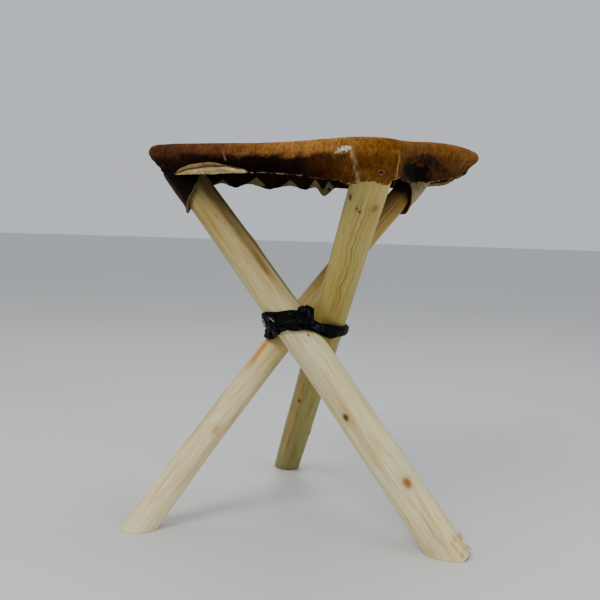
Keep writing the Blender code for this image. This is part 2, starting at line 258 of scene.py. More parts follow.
class Pile:
    """Blocks of points, faces and tones that become one object."""

    def __init__(self):
        self.points = []
        self.tones = []
        self.faces = []
        self.count = 0

    def _add(self, points, tone):
        """Keeps a block of points and returns the number of its first one."""
        offset = self.count
        self.points.append(points)
        self.tones.append(np.zeros(points.shape) + tone)
        self.count += len(points)
        return offset

    def tube(self, path, radii, sides, tone, squeeze=1.0):
        """A tube with both ends closed to a point."""
        rings = tube_rings(path, radii, sides, squeeze)
        offset = self._add(np.concatenate((rings.reshape(-1, 3), [path[0], path[-1]])), tone)
        self.faces += grid_faces(len(rings), sides, offset)
        tip = offset + len(rings) * sides
        last = tip - sides
        for i in range(sides):
            j = (i + 1) % sides
            self.faces.append((offset + j, offset + i, tip))
            self.faces.append((last + i, last + j, tip + 1))

    def strip(self, rings, tones, closed):
        """A tube of ready rings that runs into itself, or has a flat face over each end."""
        count, sides = rings.shape[:2]
        offset = self._add(rings.reshape(-1, 3), tones.reshape(-1, 3))
        self.faces += grid_faces(count, sides, offset)
        if not closed:
            self.faces += end_caps(count, sides, offset)
            return
        last = offset + (count - 1) * sides
        for i in range(sides):
            j = (i + 1) % sides
            self.faces.append((last + i, last + j, offset + j, offset + i))

    def mottle(self, cell, seed, strength):
        """Varies the tones with noise."""
        for points, tones in zip(self.points, self.tones):
            tones *= 1.0 + strength * rough(points, cell, seed)[:, None]

    def all_points(self):
        return np.concatenate(self.points)

    def build(self, name, finish, grain=None):
        tones = {"tone": np.concatenate(self.tones)}
        return new_mesh(name, self.all_points(), self.faces, tones, [finish], grain=grain)


# --- materials ----------------------------------------------------------------------------------
class Finish:
    """A node material under construction; sockets are passed from call to call."""

    def __init__(self, name, roughness, specular):
        self.material = bpy.data.materials.new(name)
        self.material.use_nodes = True
        self.tree = self.material.node_tree
        self.shader = self.tree.nodes["Principled BSDF"]
        self.shader.inputs["Roughness"].default_value = roughness
        self.shader.inputs["Specular IOR Level"].default_value = specular

    def put(self, socket, value):
        if isinstance(value, bpy.types.NodeSocket):
            self.tree.links.new(value, socket)
        else:
            socket.default_value = value

    def node(self, kind, output, sockets=None, **settings):
        """One output of a new node, whose settings and then sockets are filled in."""
        made = self.tree.nodes.new("ShaderNode" + kind)
        for name, value in settings.items():
            setattr(made, name, value)
        for name, value in (sockets or {}).items():
            self.put(made.inputs[name], value)
        return made.outputs[output]

    def noise(self, scale, source="Object", detail=3.0, distortion=0.0, low=0.0, high=1.0):
        """Noise with cells 1 / scale metres wide, mapped from its usual spread to low..high."""
        if source == "grain":
            place = self.node("Attribute", "Vector", attribute_name=source)
        else:
            place = self.node("TexCoord", source)
        place = self.node("Mapping", "Vector", {"Vector": place, "Scale": scale})
        look = {"Vector": place, "Scale": 1.0, "Detail": detail, "Distortion": distortion}
        value = self.node("TexNoise", "Fac", look)
        spread = {"Value": value, "From Min": 0.3, "From Max": 0.7, "To Min": low, "To Max": high}
        return self.node("MapRange", "Result", spread)

    def painted(self, layer):
        return self.node("Attribute", "Color", attribute_name=layer)

    def blend(self, kind, share, first, second):
        sockets = {"Factor": share, "A": first, "B": second}
        return self.node("Mix", "Result", sockets, data_type="RGBA", blend_type=kind)

    def scaled(self, colour, factor):
        """A colour times a brightness factor."""
        sockets = {"Vector": colour, "Scale": factor}
        return self.node("VectorMath", "Vector", sockets, operation="SCALE")

    def relief(self, height, strength, distance, under=None):
        sockets = {"Strength": strength, "Distance": distance, "Height": height}
        if under is not None:
            sockets["Normal"] = under
        return self.node("Bump", "Normal", sockets)

    def done(self, colour, normal, roughness=None):
        self.put(self.shader.inputs["Base Color"], colour)
        self.put(self.shader.inputs["Normal"], normal)
        if roughness is not None:
            self.put(self.shader.inputs["Roughness"], roughness)
        return self.material


def wood_finish():
    """Peeled pole: long soft streaks, fine lengthwise grain and a dry, slightly worn surface."""
    made = Finish("peeled_pole_finish", 0.55, specular=0.15)
    bands = made.noise((45.0, 45.0, 5.0), "grain", 3.0, 0.5, low=0.88, high=1.07)
    streaks = made.noise((150.0, 150.0, 9.0), "grain", 4.0, 1.0, low=-0.7, high=0.70)
    flecks = made.noise((330.0, 330.0, 45.0), "grain", 3.0, 0.4, low=-3.4, high=0.75)
    blush = made.noise((30.0, 30.0, 12.0), "grain", 3.0, 0.5, low=-0.5, high=0.6)
    grain = made.noise((800.0, 800.0, 22.0), "grain", detail=4.0, low=0.82, high=1.12)
    colour = made.scaled(made.painted("tone"), bands)
    colour = made.blend("MULTIPLY", streaks, colour, (0.84, 0.62, 0.36, 1.0))
    colour = made.blend("MULTIPLY", blush, colour, (0.95, 0.84, 0.62, 1.0))
    colour = made.blend("MULTIPLY", flecks, colour, (0.78, 0.60, 0.38, 1.0))
    colour = made.scaled(colour, grain)
    fibre = made.noise((650.0, 650.0, 14.0), "grain", detail=5.0)
    waves = made.noise((90.0, 90.0, 9.0), "grain", detail=2.0)
    normal = made.relief(waves, 0.4, 0.0014)
    normal = made.relief(fibre, 0.4, 0.0005, normal)
    gloss = made.noise((60.0, 60.0, 6.0), "grain", low=0.42, high=0.66)
    return made.done(colour, normal, gloss)


def coat_finish():
    """Hair-on side: short hair that runs outwards and down the skirt, mottled in patches."""
    made = Finish("hair_on_hide_finish", 0.7, specular=0.02)
    patches = made.noise((55.0, 55.0, 70.0), detail=4.0, distortion=0.7, low=0.66, high=1.3)
    locks = made.noise((330.0, 200.0, 1.0), "UV", detail=4.0, distortion=0.8, low=0.58, high=1.42)
    hairs = made.noise((1000.0, 450.0, 1.0), "UV", detail=3.0, low=0.70, high=1.30)
    colour = made.scaled(made.painted("coat"), patches)
    colour = made.scaled(colour, locks)
    colour = made.scaled(colour, hairs)
    tufts = made.noise((170.0, 110.0, 1.0), "UV", detail=3.0, distortion=0.6)
    strands = made.noise((900.0, 350.0, 1.0), "UV", detail=4.0)
    normal = made.relief(tufts, 0.5, 0.0016)
    normal = made.relief(strands, 0.5, 0.0006, normal)
    gloss = made.noise((240.0, 80.0, 1.0), "UV", low=0.6, high=0.85)
    return made.done(colour, normal, gloss)


def leather_finish(name, layer, roughness, specular, wrinkle=1.0):
    """Bare hide: blotched, with fine pores and soft wrinkles."""
    made = Finish(name, roughness, specular)
    blotches = made.noise((75.0, 75.0, 60.0), detail=4.0, distortion=0.8, low=0.68, high=1.28)
    pores = made.noise((900.0, 900.0, 900.0), detail=3.0, low=0.84, high=1.16)
    colour = made.scaled(made.painted(layer), blotches)
    colour = made.scaled(colour, pores)
    creases = made.noise((210.0, 210.0, 120.0), detail=4.0, distortion=1.2)
    normal = made.relief(creases, 0.55 * wrinkle, 0.0014)
    normal = made.relief(pores, 0.35, 0.0003, normal)
    gloss = made.noise((130.0, 130.0, 90.0), low=roughness - 0.12, high=roughness + 0.12)
    return made.done(colour, normal, gloss)


# --- stage --------------------------------------------------------------------------------------
CAMERA_AT = Vector((-0.0085, -1.0663, 0.3490))
CAMERA_RIGHT = Vector((0.99947, 0.00986, 0.03106))
CAMERA_UP = Vector((-0.03173, 0.07667, 0.99655))
CAMERA_LENS = 51.24
SENSOR = 36.0
FLOOR_RINGS = (0.5, 2.0, 8.0, 40.0)
FLOOR_SIDES = 64


def camera():
    data = bpy.data.cameras.new("camera")
    data.lens = CAMERA_LENS
    data.sensor_width = SENSOR
    data.clip_start = 0.02
    made = bpy.data.objects.new("camera", data)
    back = CAMERA_RIGHT.cross(CAMERA_UP).normalized()
    up = back.cross(CAMERA_RIGHT).normalized()
    turn = Matrix((CAMERA_RIGHT.normalized(), up, back)).transposed()
    made.matrix_world = Matrix.Translation(CAMERA_AT) @ turn.to_4x4()
    bpy.context.scene.collection.objects.link(made)
    bpy.context.scene.camera = made


def lamp(name, place, aim, size, power, colour=(1.0, 1.0, 1.0)):
    data = bpy.data.lights.new(name, "AREA")
    data.shape = "DISK"
    data.size = size
    data.energy = power
    data.color = colour
    made = bpy.data.objects.new(name, data)
    made.location = place
    made.rotation_euler = (Vector(aim) - Vector(place)).to_track_quat("-Z", "Y").to_euler()
    bpy.context.scene.collection.objects.link(made)


def stage():
    """Pale floor, pale surroundings and soft lights."""
    made = Finish("floor_finish", 0.55, specular=0.3)
    shade = made.noise((2.0, 2.0, 2.0), low=0.97, high=1.03)
    fine = made.noise((60.0, 60.0, 60.0))
    colour = made.scaled((0.62, 0.62, 0.61), shade)
    finish = made.done(colour, made.relief(fine, 0.05, 0.001))
    turn = circle(FLOOR_SIDES)
    rings = [xyz(radius * np.cos(turn), radius * np.sin(turn)) for radius in FLOOR_RINGS]
    faces = grid_faces(len(rings), FLOOR_SIDES, flip=True)
    faces.append(tuple(range(FLOOR_SIDES)))
    floor = new_mesh("floor", rings, faces, {}, [finish])
    world = bpy.data.worlds.new("surroundings")
    world.use_nodes = True
    background = world.node_tree.nodes["Background"]
    background.inputs["Color"].default_value = (0.80, 0.84, 0.90, 1.0)
    background.inputs["Strength"].default_value = 0.75
    bpy.context.scene.world = world
    lamp("key", (-0.9, -1.3, 1.9), (0.0, 0.0, 0.3), 1.0, 26.0, (1.0, 0.97, 0.92))
    lamp("fill", (1.5, -1.2, 1.1), (0.0, 0.0, 0.25), 1.2, 9.0)
    lamp("top", (0.2, 0.5, 2.2), (0.0, 0.0, 0.4), 1.2, 14.0)


# --- poles --------------------------------------------------------------------------------------
RING_POINTS = 30  # a whole ring of the CAD pole has at least as many
RING_LEVEL = 2e-4  # and they lie as close as this in height
RING_TRUE = 1e-4  # and as close as this to a circle


class Pole:
    """The axis, radius and local frame of a leg, measured from its CAD mesh."""

    def __init__(self, node, body):
        joint = JOINTS[body]
        self.node = node
        self.body = body
        self.origin = np.array(joint["pos_m"])
        points = cad_points(node)
        axis = np.array(joint["axis"])
        self.across = axis / np.linalg.norm(axis)
        self.up = self._top_normal(self.across)
        if np.cross((0.0, 0.0, 1.0), self.up) @ self.across < 0.0:
            self.across = -self.across
        self.outer = np.cross(self.across, self.up)
        self._measure(self.to_local(points))

    def _top_normal(self, hinge):
        """Normal of the pole's flat top, which faces up and away from the crossing."""
        heading = np.array((-hinge[1], hinge[0], 0.0))
        normals = []
        for face in frame["nodes"][self.node].data.polygons:
            normal = np.array(face.normal)
            level = abs(normal @ hinge) < 0.01
            if level and normal @ heading > 0.3 and normal[2] > 0.3:
                normals.append(normal * face.area)
        total = np.sum(normals, axis=0)
        return total / np.linalg.norm(total)

    def to_local(self, points):
        """Local X is the lower, outer side, Y the hinge's way and Z up the pole."""
        moved = points - self.origin
        return np.stack((moved @ self.outer, moved @ self.across, moved @ self.up), axis=-1)

    def to_world(self, local):
        return local @ np.array((self.outer, self.across, self.up)) + self.origin

    def _measure(self, local):
        """Fits the bowed axis and the taper to circles through the rings of the CAD pole."""
        rows = []
        for level in np.unique(np.round(local[:, 2], 4)):
            flat = local[np.abs(local[:, 2] - level) < RING_LEVEL][:, :2]
            if len(flat) < RING_POINTS:
                continue
            system = np.concatenate((2.0 * flat, np.ones((len(flat), 1))), axis=1)
            x, y, rest = np.linalg.lstsq(system, (flat**2).sum(axis=1), rcond=None)[0]
            radius = math.sqrt(rest + x * x + y * y)
            if np.abs(np.hypot(flat[:, 0] - x, flat[:, 1] - y) - radius).max() < RING_TRUE:
                rows.append((level, x, y, radius))
        rows = np.array(rows)
        self.top = rows[:, 0].max()
        self.bow = np.polyfit(rows[:, 0], rows[:, 1], 2)
        self.drift = np.polyfit(rows[:, 0], rows[:, 2], 2)
        self.taper = np.polyfit(rows[:, 0], rows[:, 3], 1)
        self.foot = -self.origin[2] / self.up[2]

    def centre(self, along):
        return np.polyval(self.bow, along), np.polyval(self.drift, along)

    def radius(self, along):
        return np.polyval(self.taper, along)

    def surface(self, along, turn, extra=0.0):
        """Local points on the pole at distances along it and angles in radians round it."""
        x, y = self.centre(along)
        reach = self.radius(along) + extra
        return np.stack((x + reach * np.cos(turn), y + reach * np.sin(turn), along), axis=-1)


POLE_COLUMNS = 168
POLE_ROWS = 430

# tones: (share of the way up, colour), with painted shade in them; knots: (metres up from the
# crossing, angle, size, colour); cracks: (angle, from, to, width, strength); stains: (angle, from,
# to, half width in degrees, strength, colour); angles go round the pole from its lower, outer side,
# 90 being the hinge's way
BROWN = (0.20, 0.085, 0.025)
ORANGE = (0.56, 0.27, 0.055)
UMBER = (0.075, 0.032, 0.010)
POLE_LOOKS = {
    "leg_front_right": {
        "seed": 11,
        # painted shade: from about 0.6 of the way up the colour darkens where the seat shades the
        # pole
        "tones": (
            (0.0, (0.76, 0.62, 0.32)),
            (0.20, (0.72, 0.68, 0.40)),
            (0.48, (0.68, 0.64, 0.38)),
            (0.62, (0.56, 0.48, 0.24)),
            (0.75, (0.46, 0.37, 0.145)),
            (0.90, (0.34, 0.26, 0.09)),
            (1.0, (0.22, 0.16, 0.055)),
        ),
        "knots": (
            (-0.127, 90.0, 0.0038, (0.05, 0.025, 0.010)),
            (-0.226, 134.0, 0.0052, (0.30, 0.11, 0.012)),
            (-0.022, 140.0, 0.0018, (0.14, 0.10, 0.07)),
            (0.120, 200.0, 0.006, (0.30, 0.17, 0.07)),
            (-0.190, 230.0, 0.006, (0.30, 0.17, 0.07)),
        ),
        "cracks": (
            (118.0, -0.312, -0.245, 0.0005, 0.6),
            (60.0, -0.300, -0.262, 0.0005, 0.5),
            (250.0, -0.230, -0.060, 0.0006, 0.8),
        ),
        "stains": (
            (150.0, 0.050, 0.240, 20.0, 0.80, BROWN),
            (184.0, 0.020, 0.240, 16.0, 0.70, UMBER),
            (40.0, -0.200, -0.080, 9.0, 0.28, BROWN),
            (105.0, -0.160, -0.030, 6.0, 0.30, ORANGE),
            (150.0, -0.044, -0.010, 6.0, 0.60, ORANGE),
            (131.0, -0.246, -0.200, 5.0, 0.80, ORANGE),
            (98.0, -0.165, -0.110, 6.0, 0.50, ORANGE),
            (92.0, -0.060, -0.008, 5.0, 0.30, ORANGE),
            (70.0, 0.040, 0.200, 7.0, 0.25, BROWN),
        ),
    },
    "leg_front_left": {
        "seed": 23,
        # painted shade: darker from half way up where the seat shades the pole, and a near-black
        # painted shadow from about 0.9 up, just under the hide
        "tones": (
            (0.0, (0.82, 0.71, 0.42)),
            (0.30, (0.77, 0.68, 0.38)),
            (0.50, (0.62, 0.50, 0.22)),
            (0.65, (0.44, 0.34, 0.105)),
            (0.84, (0.42, 0.29, 0.075)),
            (0.895, (0.28, 0.16, 0.035)),
            (0.915, (0.03, 0.015, 0.006)),
            (1.0, (0.02, 0.010, 0.005)),
        ),
        "knots": (
            (-0.165, 258.0, 0.0040, (0.58, 0.40, 0.19)),
            (0.125, 275.0, 0.0035, (0.20, 0.10, 0.04)),
            (-0.120, 80.0, 0.0055, (0.32, 0.18, 0.08)),
        ),
        "cracks": (
            (285.0, -0.290, -0.190, 0.0004, 0.35),
            (296.0, -0.165, -0.045, 0.0005, 0.70),
            (310.0, -0.120, -0.020, 0.0005, 0.60),
            (240.0, 0.060, 0.190, 0.0006, 0.8),
            (60.0, -0.200, -0.020, 0.0006, 0.8),
        ),
        "stains": (
            (194.0, -0.095, 0.010, 30.0, 1.30, ORANGE),
            (180.0, -0.210, -0.105, 11.0, 0.60, BROWN),
            (200.0, -0.110, -0.060, 5.0, 0.50, BROWN),
            (262.0, 0.045, 0.230, 9.0, 0.70, BROWN),
            (290.0, 0.060, 0.225, 6.0, 0.70, BROWN),
            (300.0, 0.110, 0.235, 14.0, 0.60, ORANGE),
            (238.0, 0.020, 0.230, 7.0, 0.60, BROWN),
        ),
    },
    "leg_rear": {
        "seed": 37,
        # painted shade: the whole rear pole is painted darker than the front poles
        "tones": (
            (0.0, (0.24, 0.22, 0.075)),
            (0.35, (0.32, 0.29, 0.09)),
            (0.55, (0.40, 0.32, 0.085)),
            (0.78, (0.47, 0.38, 0.105)),
            (1.0, (0.52, 0.43, 0.15)),
        ),
        "knots": (
            (0.213, 14.0, 0.0044, (0.30, 0.17, 0.04)),
            (0.206, -27.0, 0.0018, (0.12, 0.06, 0.03)),
            (0.2085, -37.0, 0.0015, (0.12, 0.06, 0.03)),
            (-0.214, 46.0, 0.0036, (0.06, 0.035, 0.015)),
            (-0.137, -46.0, 0.0036, (0.12, 0.06, 0.02)),
            (0.216, -70.0, 0.0034, (0.10, 0.05, 0.02)),
        ),
        "cracks": (
            (-14.0, 0.030, 0.232, 0.0005, 0.6),
            (-30.0, 0.090, 0.236, 0.0004, 0.5),
            (-3.0, 0.120, 0.228, 0.0004, 0.45),
            (12.0, 0.060, 0.150, 0.0004, 0.5),
            (-40.0, -0.260, -0.150, 0.0005, 0.6),
            (180.0, -0.150, 0.150, 0.0007, 0.9),
        ),
        "stains": (
            (-24.0, 0.030, 0.190, 6.0, 0.40, BROWN),
            (50.0, 0.030, 0.180, 14.0, 0.30, BROWN),
            (0.0, -0.300, -0.220, 20.0, 0.25, BROWN),
            (-52.0, -0.280, -0.040, 16.0, 0.60, ORANGE),
        ),
    },
}
KNOT_SWELL = 0.0009
CRACK_DEPTH = 0.0011
CRACK_TONE = (0.16, 0.075, 0.022)
HALO_TONE = (0.42, 0.22, 0.08)  # round a knot


def pole_marks(look, along, turn, radius, colours):
    """Paints knots, cracks and stains on colours and gives the relief that goes with them."""
    relief = np.zeros(along.shape)
    degrees = np.degrees(turn)
    wander = lattice(xyz(0.0, along * 55.0), look["seed"])
    zigzag = lattice(xyz(0.0, along * 150.0), 71)
    ragged = np.clip(0.75 + 0.5 * lattice(xyz(degrees / 5.0, along * 25.0), 5), 0.0, 1.0)
    for angle, low, high, half, strength, colour in look["stains"]:
        share = strength * near(degrees + 5.0 * wander, angle, half)
        colours = mix(colours, colour, share * stretch(along, low, high, 0.03) * ragged)
    for angle, low, high, width, strength in look["cracks"]:
        offset = angle_gap(degrees + 6.0 * wander + 2.5 * zigzag, angle)
        distance = np.abs(np.radians(offset)) * radius
        share = strength * ease(1.6 - distance / width) * stretch(along, low, high, 0.02)
        relief -= CRACK_DEPTH * share
        colours = mix(colours, CRACK_TONE, share)
    for up, angle, size, colour in look["knots"]:
        across = np.radians(angle_gap(degrees, angle)) * radius
        reach = np.hypot(across, (along - up) * 0.75)
        halo = window(reach, 0.0, size * 3.2)
        relief += KNOT_SWELL * (halo - 1.5 * ease(1.0 - reach / size / 0.7))
        colours = mix(colours, HALO_TONE, 0.35 * halo)
        colours = mix(colours, colour, 0.9 * ease(1.4 - reach / size))
    return relief, colours


SETTLE_ROUNDS = 12  # in which a place along the pole is found for a height
# the front right pole has a second, slightly raised facet on the outer side of its sole
FACET_WIDTH = 0.017
FACET_SLOPE = 0.55
FACET_HEIGHT = 0.009


def above_sole(pole, local):
    """How far points lie above the sole, along the pole."""
    world = pole.to_world(local)
    sole = 0.0
    if pole.node == "leg_front_right":
        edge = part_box(pole.node)[1].x - FACET_WIDTH
        sole = np.clip((world[:, 0] - edge) * FACET_SLOPE, 0.0, FACET_HEIGHT)
    return (world[:, 2] - sole) / pole.up[2]


def shrunk(ring, shares, rise=0.0):
    """Rings inside a ring, at shares of its size."""
    centre = ring.mean(axis=0)
    return np.array([centre + (ring - centre) * share + (0.0, 0.0, rise) for share in shares])


FOOT_THIN = 0.0012  # how much thinner the pole is at its foot; it fades out up the pole
FOOT_FADE = 0.5814
SOLE_ROWS = 6  # rows of the wall that ease back onto the sole
SOLE_RINGS = (0.25, 0.6, 0.93, 0.985)
TOP_RINGS = (0.97, 0.8, 0.4)
TOP_CROWN = 0.0004
SOLE_TONE = (0.17, 0.12, 0.06)
TOP_TONE = (0.45, 0.33, 0.17)


def pole_relief(pole, look, along, turn, shares):
    """Lumps, which fade at the lashing, a fine ripple and the thinner foot."""
    spot = pole.surface(along, turn)
    away = ease(np.abs(along) / 0.05)
    lumps = rough(spot, (0.05, 0.05, 0.11), look["seed"], 2)
    ripple = rough(spot, (0.0035, 0.0035, 0.06), look["seed"] + 3, 2)
    relief = away * (0.0007 * lumps - 0.0006) + 0.00016 * ripple - 0.00015
    return relief - FOOT_THIN * (1.0 - ease(shares * FOOT_FADE)) ** 2


def build_pole(leg, finish):
    """The pole with its marks and relief, a level sole and a nearly flat top."""
    pole = leg["measured"]
    look = POLE_LOOKS[pole.node]
    turn = circle(POLE_COLUMNS)
    low = np.full(POLE_COLUMNS, pole.foot)
    for _ in range(SETTLE_ROUNDS):
        low = low - above_sole(pole, pole.surface(low, turn))
    shares = np.linspace(0.0, 1.0, POLE_ROWS)[:, None]
    along = low + (pole.top - low) * shares
    around = np.broadcast_to(turn, along.shape)
    level = (along - pole.foot) / (pole.top - pole.foot)
    colours = keyed(level, look["tones"], period=None)
    relief, colours = pole_marks(look, along, around, pole.radius(along), colours)
    relief = relief + pole_relief(pole, look, along, around, shares)
    wall = pole.surface(along, around, relief)
    fade = 1.0 - np.arange(SOLE_ROWS) / SOLE_ROWS
    wall[:SOLE_ROWS, :, 2] -= above_sole(pole, wall[0]) * fade[:, None]
    sole = shrunk(wall[0], SOLE_RINGS)
    sole[..., 2] -= [above_sole(pole, ring) for ring in sole]
    top = shrunk(wall[-1], TOP_RINGS, TOP_CROWN)
    points = np.concatenate((sole, wall, top))
    ends = (plain(sole.shape[:2], SOLE_TONE), plain(top.shape[:2], TOP_TONE))
    tone = np.concatenate((ends[0], colours, ends[1]))
    faces = grid_faces(len(points), POLE_COLUMNS) + end_caps(len(points), POLE_COLUMNS)
    world = pole.to_world(points)
    made = new_mesh("pole_" + pole.node, world, faces, {"tone": tone}, [finish], grain=points)
    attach(made, pole.body)
    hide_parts(pole.node)


SPLINTERS = 26
SPLINTER_TONE = (0.66, 0.50, 0.22)


def build_splinters(leg, finish):
    """Frayed fibres round the outer edge of a sawn foot."""
    pole = leg["measured"]
    draw = np.random.default_rng(19)
    pile = Pile()
    steps = np.linspace(0.0, 1.0, 6)
    for _ in range(SPLINTERS):
        turn = math.radians(draw.uniform(140.0, 215.0))
        reach = draw.uniform(0.003, 0.009)
        low = pole.foot + draw.uniform(-0.009, 0.018)
        along = low + reach * steps * draw.choice((-1.0, 1.0))
        spot = pole.surface(along, turn + 0.12 * steps * draw.uniform(-1.0, 1.0), -0.0006)
        lift = draw.uniform(0.0008, 0.0030) * steps**1.5
        spot = spot + lift[:, None] * np.array((math.cos(turn), math.sin(turn), 0.0))
        radii = np.linspace(draw.uniform(0.0006, 0.0013), 0.0001, 6)
        pile.tube(pole.to_world(spot), radii, 6, SPLINTER_TONE, 0.6)
    grain = pole.to_local(pile.all_points())
    made = pile.build("splinters_" + pole.node, finish, grain)
    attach(made, pole.body)


# --- pockets ------------------------------------------------------------------------------------
POCKET_COLUMNS = 120
POCKET_ROWS = 44
POCKET_GAP = 0.0004
POCKET_WALL = 0.0032
EDGE_HIGH = 0.0022  # how far the cut edge's colour reaches up from the mouth
LID_RINGS = (0.35, 0.8)
END_RINGS = (0.93, 0.7, 0.35)
# short: how much higher the mouth is than the CAD one; the next two give the middle and half width of
# the side painted as lit, and the rest is painted darker as shade, by the factor shade
WHOLE = {"short": 0.0, "lit_at": 0.0, "lit_half": 180.0, "shade": 0.9}
POCKET_LOOKS = {
    "pocket_left": {
        "seed": 51,
        "outside": (0.090, 0.026, 0.007),
        # painted shade: the near-black inside stands for the shade in the sleeve
        "inside": (0.012, 0.006, 0.004),
        "edge": (0.22, 0.13, 0.07),
        "curl": 0.0030,
        "wrinkle": 0.0009,
        "short": 0.0,
        "lit_at": 20.0,
        "lit_half": 52.0,
        "shade": 0.06,
    },
    "pocket_right": {
        **WHOLE,
        "seed": 57,
        "outside": (0.36, 0.29, 0.14),
        "inside": (0.10, 0.06, 0.03),
        # painted shadow: the dark edge colour is the shadow line along the flap's cut edge
        "edge": (0.06, 0.03, 0.015),
        "curl": 0.002,
        "wrinkle": 0.0012,
    },
    "pocket_front": {
        **WHOLE,
        "seed": 63,
        "outside": (0.06, 0.025, 0.012),
        "inside": (0.03, 0.015, 0.008),
        "edge": (0.42, 0.32, 0.18),
        "curl": 0.0,
        "wrinkle": 0.0004,
        "short": 0.0085,
    },
}


def pocket_mouth(pole, local, turn, short):
    """The ragged slanting mouth, as distances up the pole at angles round it."""
    x, y = pole.centre(local[:, 2])
    angle = np.arctan2(local[:, 1] - y, local[:, 0] - x)
    gaps = np.abs((turn[:, None] - angle + np.pi) % (2.0 * np.pi) - np.pi)
    mouth = smooth_round(np.array([local[row, 2].min() for row in gaps < 0.2]), 3.0)
    ragged = rough(xyz(3.0 * np.cos(turn), 3.0 * np.sin(turn)), 1.0, 9)
    return mouth + 0.0018 * ragged + 0.0006 + short


def build_pocket(leg, finish):
    """Hide sleeve with a closed end over the pole's top, its mouth cut at a slant and curled."""
    pole = leg["measured"]
    node = leg["pocket"]
    look = POCKET_LOOKS[node]
    local = pole.to_local(cad_points(node))
    x, y = pole.centre(local[:, 2])
    wall = np.hypot(local[:, 0] - x, local[:, 1] - y).max() - pole.radius(local[:, 2]).mean()
    wall = min(wall, POCKET_WALL) - POCKET_GAP
    turn = circle(POCKET_COLUMNS)
    mouth = pocket_mouth(pole, local, turn, look["short"])
    share = np.linspace(0.0, 1.0, POCKET_ROWS)[:, None]
    along = mouth + (pole.top + 0.0003 - mouth) * share
    around = np.broadcast_to(turn, along.shape)
    spot = pole.surface(along, around)
    curl = look["curl"] * np.clip(1.0 - (along - mouth) / 0.012, 0.0, 1.0) ** 2
    folds = rough(spot, (0.009, 0.009, 0.03), look["seed"], 2)
    lift = (folds + 0.4) * look["wrinkle"] * np.clip(1.6 - share * 1.2, 0.3, 1.0)
    stand = POCKET_GAP + curl + np.clip(lift, 0.0, None)
    inner = pole.surface(along, around, stand)
    outer = pole.surface(along, around, stand + wall)
    end = shrunk(outer[-1], END_RINGS, 0.0022)
    rings = np.concatenate((shrunk(inner[-1], LID_RINGS), inner[::-1], outer, end))
    shown = np.array(look["outside"]) * (1.0 + 0.35 * rough(spot, 0.02, look["seed"] + 5)[..., None])
    # painted light and shade: the lit side keeps its colour and the rest is darkened to shade
    lit_share = near(np.degrees(around), look["lit_at"], look["lit_half"])
    shown = shown * (look["shade"] + (1.0 - look["shade"]) * lit_share)[..., None]
    rim = np.clip(1.0 - (along - mouth) / EDGE_HIGH, 0.0, 1.0)
    colours = plain(rings.shape[:2], look["inside"])
    start = len(LID_RINGS) + POCKET_ROWS
    colours[start - 2 : start] = look["edge"]
    colours[start : start + POCKET_ROWS] = mix(shown, look["edge"], 0.85 * rim)
    colours[start + POCKET_ROWS :] = look["outside"]
    faces = grid_faces(len(rings), POCKET_COLUMNS) + end_caps(len(rings), POCKET_COLUMNS)
    made = new_mesh("sleeve_" + node, pole.to_world(rings), faces, {"tone": colours}, [finish])
    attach(made, pole.body)
    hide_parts(node)


# --- laces --------------------------------------------------------------------------------------
LACE_TONES = {
    "lace_knot_left": (0.030, 0.012, 0.006),
    "lace_knot_right": (0.012, 0.007, 0.005),
    "lace_knot_front": (0.085, 0.038, 0.010),
}
LACE_RADIUS = 0.0010
LACE_SIDES = 10
LACE_REACH = 0.06  # how far out the skirt is looked for
KNOT_STAND = 0.0016
KNOT_INSET = 0.0036
KNOT_ROUND = 0.0015
TAILS = ((0.0027, 0.0040), (-0.0018, 0.0030))  # how far each tail goes aside and down


def lace_axis(points):
    """Where the lace starts and ends, and its way out, towards its thick end."""
    middle = points.mean(axis=0)
    axis = np.linalg.svd(points - middle, full_matrices=False)[2][0]
    reach = (points - middle) @ axis
    spread = np.linalg.norm(points - middle - reach[:, None] * axis, axis=1)
    if spread[reach > 0].max() < spread[reach < 0].max():
        axis = -axis
        reach = -reach
    return middle + axis * reach.min(), middle + axis * reach.max(), axis


def build_lace(leg, finish, skin):
    """A thin hide lace through the skirt, knotted outside, with two short cut tails."""
    node = leg["lace"]
    tone = LACE_TONES[node]
    start, stop, axis = lace_axis(cad_points(node))
    hit = skin.ray_cast(Vector(start), Vector(axis), LACE_REACH)[0]
    knot = stop - axis * KNOT_INSET if hit is None else np.array(hit) + axis * KNOT_STAND
    down = np.array((0.0, 0.0, -1.0))
    side = np.cross(axis, down)
    side /= np.linalg.norm(side)
    ways = np.array((down, side, axis))
    pile = Pile()
    steps = np.linspace(0.0, 1.0, 14)[:, None]
    pile.tube(start + (knot - start) * steps, np.full(14, LACE_RADIUS), LACE_SIDES, tone, 0.8)
    turns = np.linspace(0.0, 4.0 * np.pi, 60)
    ring = KNOT_ROUND + 0.0003 * np.sin(turns * 1.5)
    loop = xyz(ring * np.cos(turns), ring * np.sin(turns), 0.0010 * np.cos(1.5 * turns))
    pile.tube(knot + loop @ ways, np.full(60, LACE_RADIUS), LACE_SIDES, tone, 0.8)
    bend = np.linspace(0.0, 1.0, 12)
    radii = np.linspace(LACE_RADIUS, LACE_RADIUS * 0.6, 12)
    for aside, fall in TAILS:
        tail = xyz(fall * bend**1.3, aside * bend, 0.0012 + 0.0010 * np.sin(3.0 * bend))
        pile.tube(knot + tail @ ways, radii, LACE_SIDES, tone, 0.6)
    pile.mottle(0.003, 4, 0.3)
    made = pile.build("tied_" + node, finish)
    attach(made, leg["body"])
    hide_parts(node)


# --- lashing ------------------------------------------------------------------------------------
LASH_STEPS = 300
LASH_SIDES = 24
LASH_GAP = 0.0003
TUCK_THICK = 0.0019
HULL_LEVELS = np.linspace(0.205, 0.280, 16)  # heights at which the outline is measured
HULL_SAMPLES = 48  # points round each pole
LASH_RADIUS = 0.050  # a typical radius, for distances round the poles
